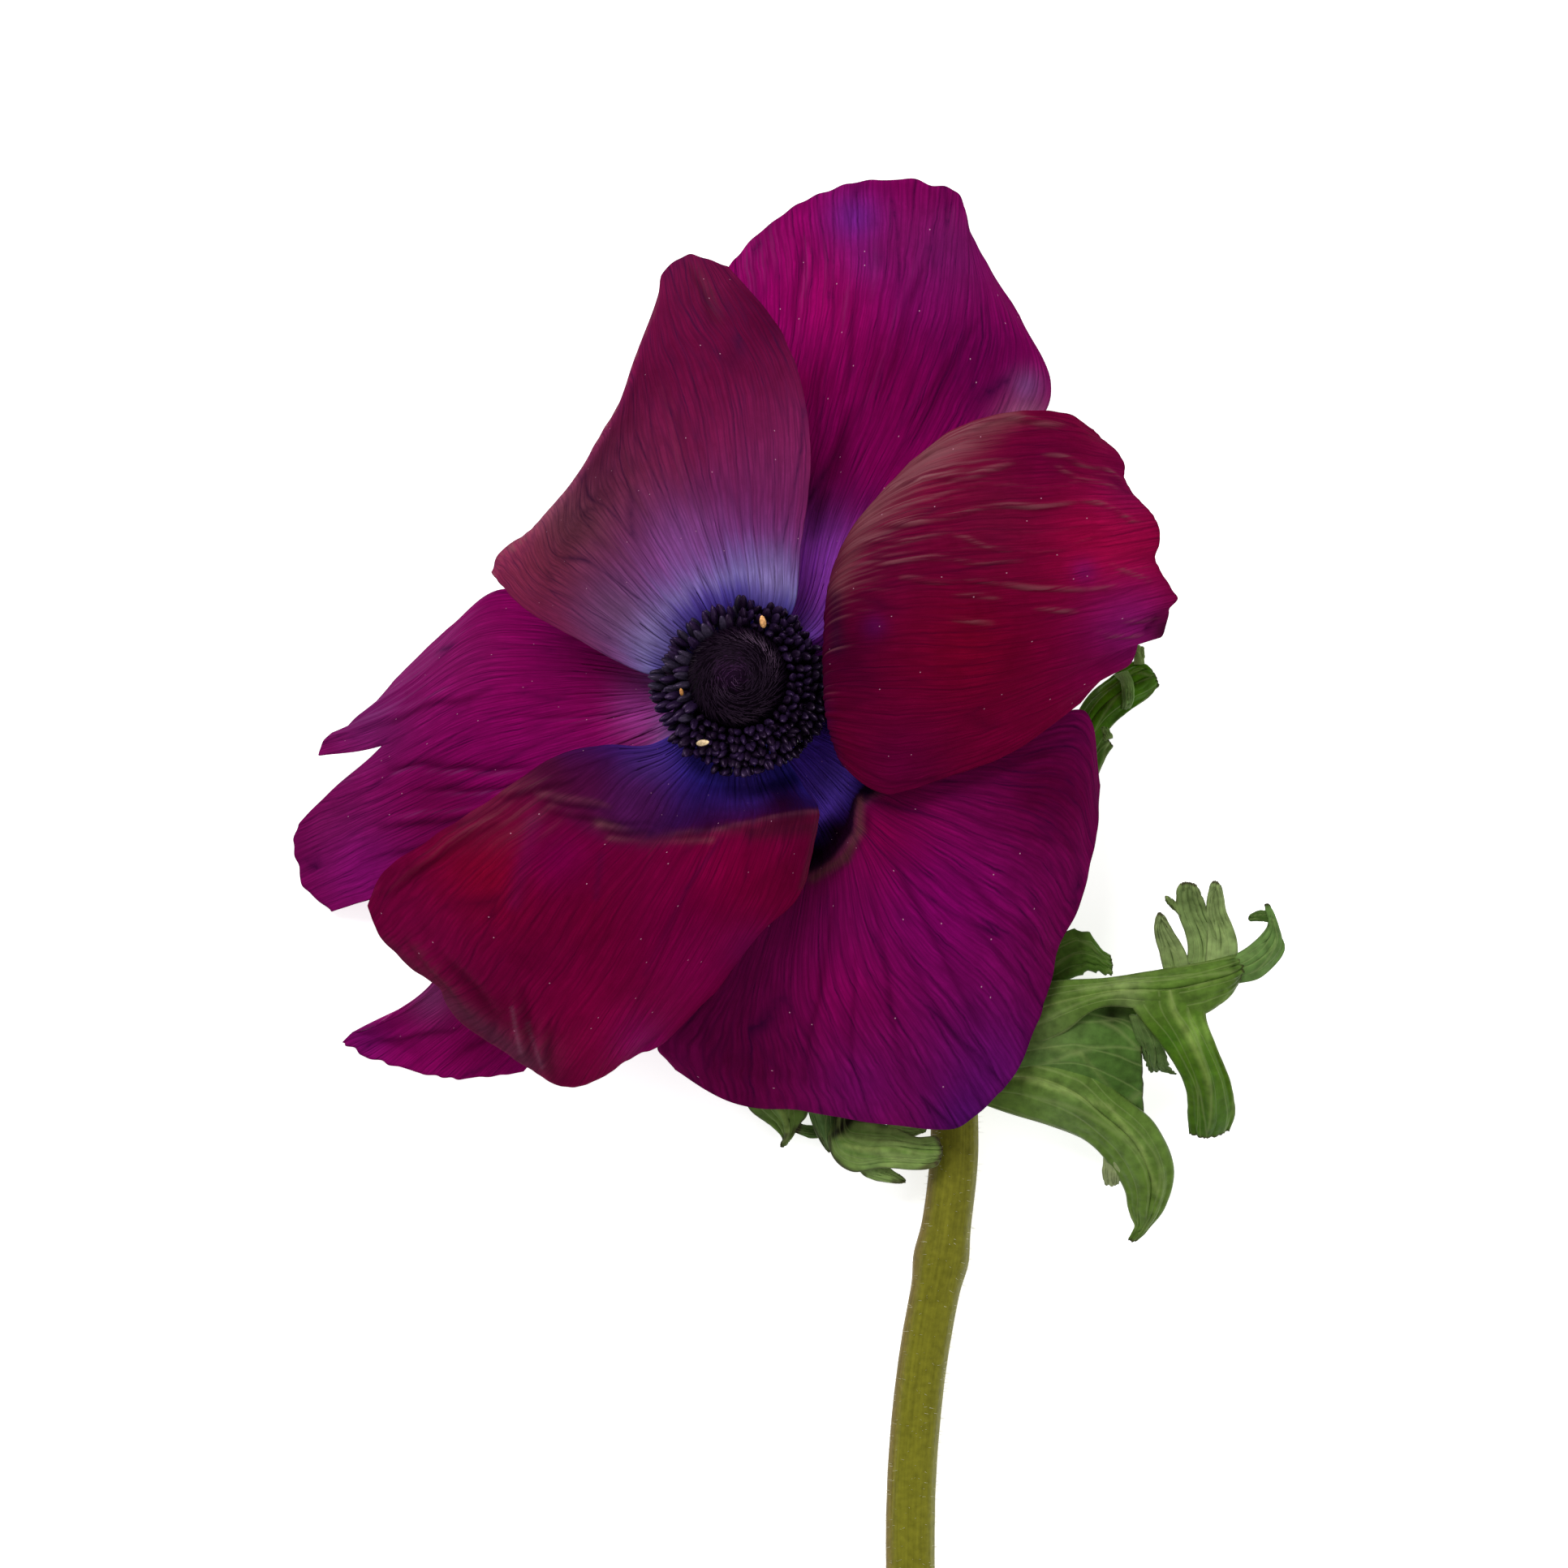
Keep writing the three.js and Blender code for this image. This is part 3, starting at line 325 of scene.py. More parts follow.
# %% Smooth surface over a net
def along(points, share):
    """Points at these shares of rows of points, one row for each place."""
    points = np.concatenate([2 * points[:1] - points[1:2], points, 2 * points[-1:] - points[-2:-1]])
    last = len(points) - 3
    k = np.clip(np.floor(share * last).astype(int), 0, last - 1)
    t = (share * last - k)[:, None]
    a, b, c, d = (points[k + i, np.arange(len(share))] for i in range(4))
    return 0.5 * (2 * b + t * (c - a + t * (2 * a - 5 * b + 4 * c - d + t * (3 * b - a - 3 * c + d))))


def net_points(net, u, v):
    """Places on a net, at shares across and along."""
    rows = [np.repeat(np.array(row, float)[:, None, :], len(u), axis=1) for row in net]
    return along(np.stack([along(row, u) for row in rows]), v)


def net_normals(net, u, v, step=0.004):
    """The ways that a net faces there, from a small step to each side."""
    du = net_points(net, np.minimum(u + step, 1), v) - net_points(net, np.maximum(u - step, 0), v)
    dv = net_points(net, u, np.minimum(v + step, 1)) - net_points(net, u, np.maximum(v - step, 0))
    facing = np.cross(du, dv)
    return facing / np.linalg.norm(facing, axis=1)[:, None]


middle = net_points(PETAL_NETS["petal_inner_right"], np.array([0.5]), np.array([0.5]))[0]
print("middle of the right petal in mm:", middle.round(1))

# %% [markdown]
# Nothing on a flower is quite even. A sum of a few sines with random starts gives a
# smooth wander, which bends rings, margins and pleats. A soft step fades one thing into
# the next.

# %% Wander and soft steps
def ripple(seed, places, waves):
    """A smooth random curve between about -1 and 1, with this many waves from 0 to 1."""
    rng = np.random.default_rng(seed)
    total = np.zeros_like(places)
    for k in range(1, 7):
        turn = rng.uniform(0, 2 * math.pi)
        total += np.sin(2 * math.pi * waves * (0.4 + 0.25 * k) * places + turn) * rng.uniform(0.5, 1)
    return total / 3


def fade(x, low, high):
    """0 up to low, 1 from high on, and a smooth rise between."""
    t = np.clip((x - low) / (high - low), 0, 1)
    return t * t * (3 - 2 * t)


def within(x, low, high, soft=0.03):
    """1 from low to high, with a soft end on each side."""
    return fade(x, low - soft, low) * (1 - fade(x, high, high + soft))


def tinted(colours, share, colour):
    """The colours moved towards one colour, each by its own share."""
    return colours + share[:, None] * (np.array(linear(colour)) - colours)


print("a soft step from 0 to 1:", fade(np.linspace(0, 1, 5), 0, 1).round(2))

# %% [markdown]
# A petal's colour changes from place to place: a ring of blue and lavender at its base,
# crimson or magenta beyond, and cooler patches near the margin. The colours are laid on
# as washes, each a soft round patch, and kept on the mesh as a colour attribute. The
# ring follows the petal's length, with a ragged edge, as the pigment follows the veins.

# %% Washes of colour
RING_FRAY = ((0.015, 22), (0.012, 7))  # share of the length, and waves across


def painted(ground, ring, washes, places, u, v, seed, fray=1.0):
    """Linear colours at these places, from a ground colour, a base ring and washes."""
    colours = np.tile(linear(ground), (len(u), 1))
    if ring:
        wander = sum(far * ripple(seed + k, u, waves) for k, (far, waves) in enumerate(RING_FRAY))
        ragged = v + fray * wander
        stops = [stop[0] for stop in ring]
        tint = np.stack([np.interp(ragged, stops, [linear(stop[1])[i] for stop in ring])
                         for i in range(3)], axis=1)
        share = np.interp(ragged, stops, [stop[2] for stop in ring])[:, None]
        colours += share * (tint - colours)
    for x, y, radius, colour, strength, *reach in washes:
        near = np.exp(-((places[:, 0] - x) ** 2 + (places[:, 1] - y) ** 2) / radius ** 2)
        if reach:
            near = near * within(v, *reach)
        colours = tinted(colours, strength * near, colour)
    return colours


print("the ring's edge wanders by, share of the length:", sum(far for far, waves in RING_FRAY))

# %% [markdown]
# Creases and pleats are given as short lines on the petal as it is seen in the
# photograph, each with its width and height. Real folds wave a little, so a drift bends
# them. The side of a fold that turns from the light is darker, more than so shallow a
# relief can show, so it gets its own shade. Strokes are washes along a line.

# %% Lines on a petal
LIGHT_WAY = np.array([-0.42, 0.9])  # towards the key light, on the photograph
DRIFT = 0.4                         # how far creases wave, mm
FULL_SHADE_HEIGHT = 0.3             # creases this high, in mm, get their whole shade


def segment_distance(places, x0, y0, x1, y1):
    """Distance to a line on the petal, the share of it that is nearest, and how far beyond
    the line, away from the light."""
    way = np.array([x1 - x0, y1 - y0])
    from_start = places - (x0, y0)
    share = np.clip(from_start @ way / (way @ way), 0, 1)
    right = np.array([way[1], -way[0]]) / np.linalg.norm(way)
    beyond = from_start @ (right if right @ LIGHT_WAY < 0 else -right)
    return np.linalg.norm(from_start - share[:, None] * way, axis=1), share, beyond


def stroked(colours, strokes, places, v):
    """The colours with thin strokes over them, each along a line."""
    for x0, y0, x1, y1, width, colour, strength, *reach in strokes:
        far = segment_distance(places[:, :2], x0, y0, x1, y1)[0]
        near = strength * np.exp(-(far / width) ** 2)
        if reach:
            near = near * within(v, *reach, soft=0.02)
        colours = tinted(colours, near, colour)
    return colours


def creased(creases, places, u, v, seed, lift, crest):
    """Lift and crest of a sheet with its creases added, and the shade beside them."""
    shade = np.zeros_like(u)
    drift = DRIFT * np.stack([ripple(seed, v, 3), ripple(seed + 1, v + u, 3)], axis=1)
    for x0, y0, x1, y1, width, height in creases:
        far, share, beyond = segment_distance(places[:, :2] + drift, x0, y0, x1, y1)
        taper = 0.15 + 0.85 * np.sin(math.pi * share) ** 0.6
        bump = taper * np.exp(-(far / width) ** 2)
        lift = lift + height * bump
        ends = np.exp(-((far ** 2 - beyond ** 2).clip(0) / width ** 2))
        off_side = beyond / width - (0.9 if height > 0 else 0.0)
        dark = min(abs(height) / FULL_SHADE_HEIGHT, 1) * taper * ends
        shade = np.maximum(shade, dark * np.exp(-off_side ** 2 / 0.6))
        if height > 0:
            crest = np.maximum(crest, bump)
    return lift, crest, shade


print("way to the light, as seen:", LIGHT_WAY)

# %% [markdown]
# The sheet itself is a grid laid on the net. Its margin is slightly ragged and flutters,
# its base has fine ribs, and a silky comb of shallow pleats runs along it. A petal is
# about 0.3 mm thick, thinner at its margin.

# %% A petal's sheet
PETAL_THICK = 0.32                         # mm
PETAL_STEPS = (168, 108)                   # across and along
PAINTED_SHEEN_SIDE = np.array([-0.55, 0.72, 0.42])  # the painted sheen shows most on what faces this way
PLAIN_SILK = (0.04, 11, 0, 1)              # height in mm, waves, and its span across
LOWEST = 0.3                               # no sheet comes nearer the table, mm
CREASE_SHADE = 0.42                        # how much darker beside a crease


def sheet_mesh(net, steps, seed, paint, creases=(), notch=None, ragged=0.003, base_ribs=0.0,
               silk=PLAIN_SILK, flutter=0.25, narrow=None, groove=0.0):
    """A grid laid on a net, creased and painted. Its map is across and along."""
    bm = bmesh.new()
    bm.loops.layers.uv.new("across_along")
    bmesh.ops.create_grid(bm, x_segments=steps[0], y_segments=steps[1], size=0.5, calc_uvs=True)
    flat = np.array([vert.co[:2] for vert in bm.verts]) + 0.5
    u, v = flat[:, 0], flat[:, 1]
    stop = 1 - ragged * (1 + ripple(seed, u, 9)) * v ** 6
    if notch:
        start, at, end, depth = notch
        side = np.where(u < at, (u - start) / (at - start), (end - u) / (end - at))
        stop -= depth * np.clip(side, 0, 1) * v ** 3
    full = 1 - ragged * (1 + ripple(seed + 2, v, 8)) * fade(v, 0.2, 0.5)
    across = np.clip(0.5 + (u - 0.5) * full, 0, 1)
    if narrow is not None:
        across = 0.5 + (across - 0.5) * narrow(u, v)
    up = v * stop
    places = net_points(net, across, up)
    normals = net_normals(net, across, up)
    lift = flutter * ripple(seed + 3, u, 4) * fade(v, 0.72, 1.0)
    height, waves, low, high = silk
    comb = ripple(seed + 5, u + 0.03 * ripple(seed + 6, v, 2), waves) * fade(v, 0.3, 0.5)
    comb = comb * within(u, low, high, 0.12)
    lift += height * comb
    lift -= groove * np.exp(-((u - 0.5) / 0.07) ** 2) * fade(v, 0.02, 0.2) * (1 - fade(v, 0.8, 1))
    lift += base_ribs * ripple(seed + 4, u, 26) * (1 - fade(v, 0.25, 0.5)) * fade(v, 0.03, 0.1)
    crest = fade(comb, 0.6, 1.2) * min(height / 0.1, 1) * 0.5
    lift, crest, shade = creased(creases, places, u, v, seed + 9, lift, crest)
    places = places + lift[:, None] * normals
    places[:, 2] = np.maximum(places[:, 2], LOWEST)
    for vert, place in zip(bm.verts, (places + BLOOM) * MM):
        vert.co = place
    bm.normal_update()
    # how squarely each point faces the side where the painted sheen shows
    facing = np.array([vert.normal[:] for vert in bm.verts]) @ (PAINTED_SHEEN_SIDE / np.linalg.norm(PAINTED_SHEEN_SIDE))
    colours, down_and_painted_sheen = paint(places, u, v, facing, crest)
    colours = colours * (1 - CREASE_SHADE * shade)[:, None]
    edge = 1 - 0.6 * np.maximum(fade(v, 0.9, 1.0), fade(np.abs(u - 0.5), 0.46, 0.5))
    # the wash's alpha carries the share of painted sheen
    layer = bm.verts.layers.float_color.new("wash")
    thin = bm.verts.layers.deform.verify()
    for vert, colour, painted_sheen_share, weight in zip(bm.verts, colours, down_and_painted_sheen, edge):
        vert[layer] = (*colour, painted_sheen_share)
        vert[thin][0] = weight
    for face in bm.faces:
        face.smooth = True
    return bm


def give_thickness(sheet, millimetres):
    """Both faces and a rim. The outer face takes the next material."""
    sheet.vertex_groups.new(name="thickness")
    solid = sheet.modifiers.new("thickness", "SOLIDIFY")
    solid.thickness = millimetres * MM
    solid.offset = 0
    solid.vertex_group = "thickness"
    solid.thickness_vertex_group = 0.0
    solid.material_offset = 1


print("triangles in a petal:", 4 * PETAL_STEPS[0] * PETAL_STEPS[1])

# %% [markdown]
# Petal tissue is a thin film of coloured cells, dull and silky. Each cell stands up as a
# tiny cone, which gives the velvet look at a glancing view: sheen does that. Dark veins
# fan out from the base and branch towards the margin. They are the edges of long cells
# that are stretched along the petal, so they use the petal's own map, and a wandering
# shift bends them. Fine light streaks lie between, about 0.2 mm apart, and grains of
# pollen and dust show as pale specks.

# %% Petal tissue
PETAL_SPAN = (40, 42, 0)      # mm across and along a petal, where it is widest
PETAL_CELLS = {               # cells to a millimetre across and along, for each pattern
    "veins": (0.42, 0.03, 0),     # long cells, 2.4 mm by 33 mm
    "net": (1.7, 0.11, 0),        # the small net between them, 0.6 mm by 9 mm
    "streaks": (4.6, 0.2, 0),     # silky streaks, 0.2 mm by 5 mm
    "sheen_lines": (2.6, 0.07, 0),    # the painted sheen's wavy lines, 0.4 mm by 14 mm
}
SPECK_CELLS = (0.8, 0.8, 0)   # one speck at most in 1.2 mm
DUST_COLOUR = "d9a3bd"


def petal_material(name, vein_colour, vein_strength, sheen, sheen_tint, painted_sheen_colour, grain=0.2):
    """Anemone petal, dull and silky, with the colours of the mesh's washes."""
    # cell walls have an IOR near 1.4, but their cones break up the gloss, which 1.1 matches
    material, tree, shader = new_material(name, 0.6, 0.04, sheen, sheen_tint, "d04a80", ior=1.1)
    wash = add(tree, "ShaderNodeAttribute", attribute_name="wash")
    flat = add(tree, "ShaderNodeUVMap", uv_map="across_along")
    sized = add(tree, "ShaderNodeVectorMath", {0: flat.outputs["UV"], 1: PETAL_SPAN},
                operation="MULTIPLY")
    # bends are 6 mm long, on the petal as it lies
    place = add(tree, "ShaderNodeTexCoord").outputs["Object"]
    wander = add(tree, "ShaderNodeTexNoise", {"Vector": place, "Scale": 160.0, "Detail": 6.0,
                                              "Roughness": 0.6})
    shift = add(tree, "ShaderNodeVectorMath", {0: wander.outputs["Color"], 1: (0.8, 1.4, 0)},
                operation="MULTIPLY")
    bent = add(tree, "ShaderNodeVectorMath", {0: sized.outputs[0], 1: shift.outputs[0]})
    maps = {key: add(tree, "ShaderNodeVectorMath", {0: bent.outputs[0], 1: cells},
                     operation="MULTIPLY").outputs[0] for key, cells in PETAL_CELLS.items()}
    edges = []
    for key, stops in (("veins", [(0.0, 1.0), (0.06, 0.0)]), ("net", [(0.0, 0.55), (0.2, 0.0)])):
        cells = add(tree, "ShaderNodeTexVoronoi", {"Vector": maps[key], "Scale": 1.0},
                    voronoi_dimensions="2D", feature="DISTANCE_TO_EDGE")
        ramp = add(tree, "ShaderNodeValToRGB", {"Fac": cells.outputs["Distance"]}, stops=stops)
        edges.append(ramp.outputs["Color"])
    lines = add(tree, "ShaderNodeMath", {0: edges[0], 1: edges[1]}, operation="MAXIMUM")
    # veins come and go over patches of about 3 mm
    cloud = add(tree, "ShaderNodeTexNoise", {"Vector": place, "Scale": 300.0, "Detail": 8.0,
                                             "Roughness": 0.68})
    shown = add(tree, "ShaderNodeMapRange", {"Value": cloud.outputs["Fac"], "From Min": 0.4,
                                             "From Max": 0.6, "To Min": 0.35 * vein_strength,
                                             "To Max": 1.2 * vein_strength})
    vein = add(tree, "ShaderNodeMath", {0: lines.outputs[0], 1: shown.outputs[0]},
               operation="MULTIPLY")
    streak = add(tree, "ShaderNodeTexNoise", {"Vector": maps["streaks"], "Scale": 1.0, "Detail": 4.0,
                                              "Roughness": 0.6})
    tone = add(tree, "ShaderNodeMapRange", {"Value": streak.outputs["Fac"], "From Min": 0.3,
                                            "From Max": 0.7, "To Min": 1 - grain, "To Max": 1 + grain})
    patch = add(tree, "ShaderNodeMapRange", {"Value": cloud.outputs["Fac"], "From Min": 0.3,
                                             "From Max": 0.7, "To Min": 0.8, "To Max": 1.2})
    both = add(tree, "ShaderNodeMath", {0: tone.outputs[0], 1: patch.outputs[0]},
               operation="MULTIPLY")
    toned = add(tree, "ShaderNodeVectorMath", {0: wash.outputs["Color"], "Scale": both.outputs[0]},
                operation="SCALE")
    veined = add(tree, "ShaderNodeMix", {"Factor": vein.outputs[0], 6: toned.outputs[0],
                                         7: (*linear(vein_colour), 1)}, data_type="RGBA")
    # a painted sheen, paler and greyer like velvet catching light, lies in thin wavy lines
    brush = add(tree, "ShaderNodeTexNoise", {"Vector": maps["sheen_lines"], "Scale": 1.0, "Detail": 3.0})
    sheen_lines = add(tree, "ShaderNodeMapRange", {"Value": brush.outputs["Fac"], "From Min": 0.45,
                                               "From Max": 0.6, "To Min": 0.08, "To Max": 1.0})
    painted_sheen_share = add(tree, "ShaderNodeMath", {0: sheen_lines.outputs[0], 1: wash.outputs["Alpha"]},
                operation="MULTIPLY")
    with_painted_sheen = add(tree, "ShaderNodeMix", {"Factor": painted_sheen_share.outputs[0], 6: veined.outputs[2],
                                        7: (*linear(painted_sheen_colour), 1)}, data_type="RGBA")
    # pale specks, 0.1 mm, in one of six cells
    spots = add(tree, "ShaderNodeVectorMath", {0: sized.outputs[0], 1: SPECK_CELLS},
                operation="MULTIPLY")
    speck = add(tree, "ShaderNodeTexVoronoi", {"Vector": spots.outputs[0], "Scale": 1.0},
                voronoi_dimensions="2D")
    dot = add(tree, "ShaderNodeValToRGB", {"Fac": speck.outputs["Distance"]},
              stops=[(0.02, 0.7), (0.055, 0.0)])
    chosen = add(tree, "ShaderNodeMath", {0: speck.outputs["Color"], 1: 0.84},
                 operation="GREATER_THAN")
    dust = add(tree, "ShaderNodeMath", {0: dot.outputs["Color"], 1: chosen.outputs[0]},
               operation="MULTIPLY")
    dusted = add(tree, "ShaderNodeMix", {"Factor": dust.outputs[0], 6: with_painted_sheen.outputs[2],
                                         7: (*linear(DUST_COLOUR), 1)}, data_type="RGBA")
    tree.links.new(dusted.outputs[2], shader.inputs["Base Color"])
    relief = add(tree, "ShaderNodeMath", {0: streak.outputs["Fac"], 1: vein.outputs[0]},
                 operation="SUBTRACT")
    bump = add(tree, "ShaderNodeBump", {"Height": relief.outputs[0], "Distance": 0.12 * MM,
                                        "Strength": 0.45})
    tree.links.new(bump.outputs["Normal"], shader.inputs["Normal"])
    return material


crimson = petal_material("petal tissue crimson", "24021c", 0.46, 0.02, "b4404c", "7a4850")
mauve = petal_material("petal tissue mauve", "2a1034", 0.62, 0.03, "b06a80", "7a4850", 0.22)
magenta = petal_material("petal tissue magenta", "26042a", 0.66, 0.02, "a84488", "743a6c", 0.28)
petal_back = petal_material("petal tissue downy outside", "3a1238", 0.4, 0.5, "d8c8d4", "8a6a80")
print("petal materials:", crimson.name, mauve.name, magenta.name, petal_back.name)
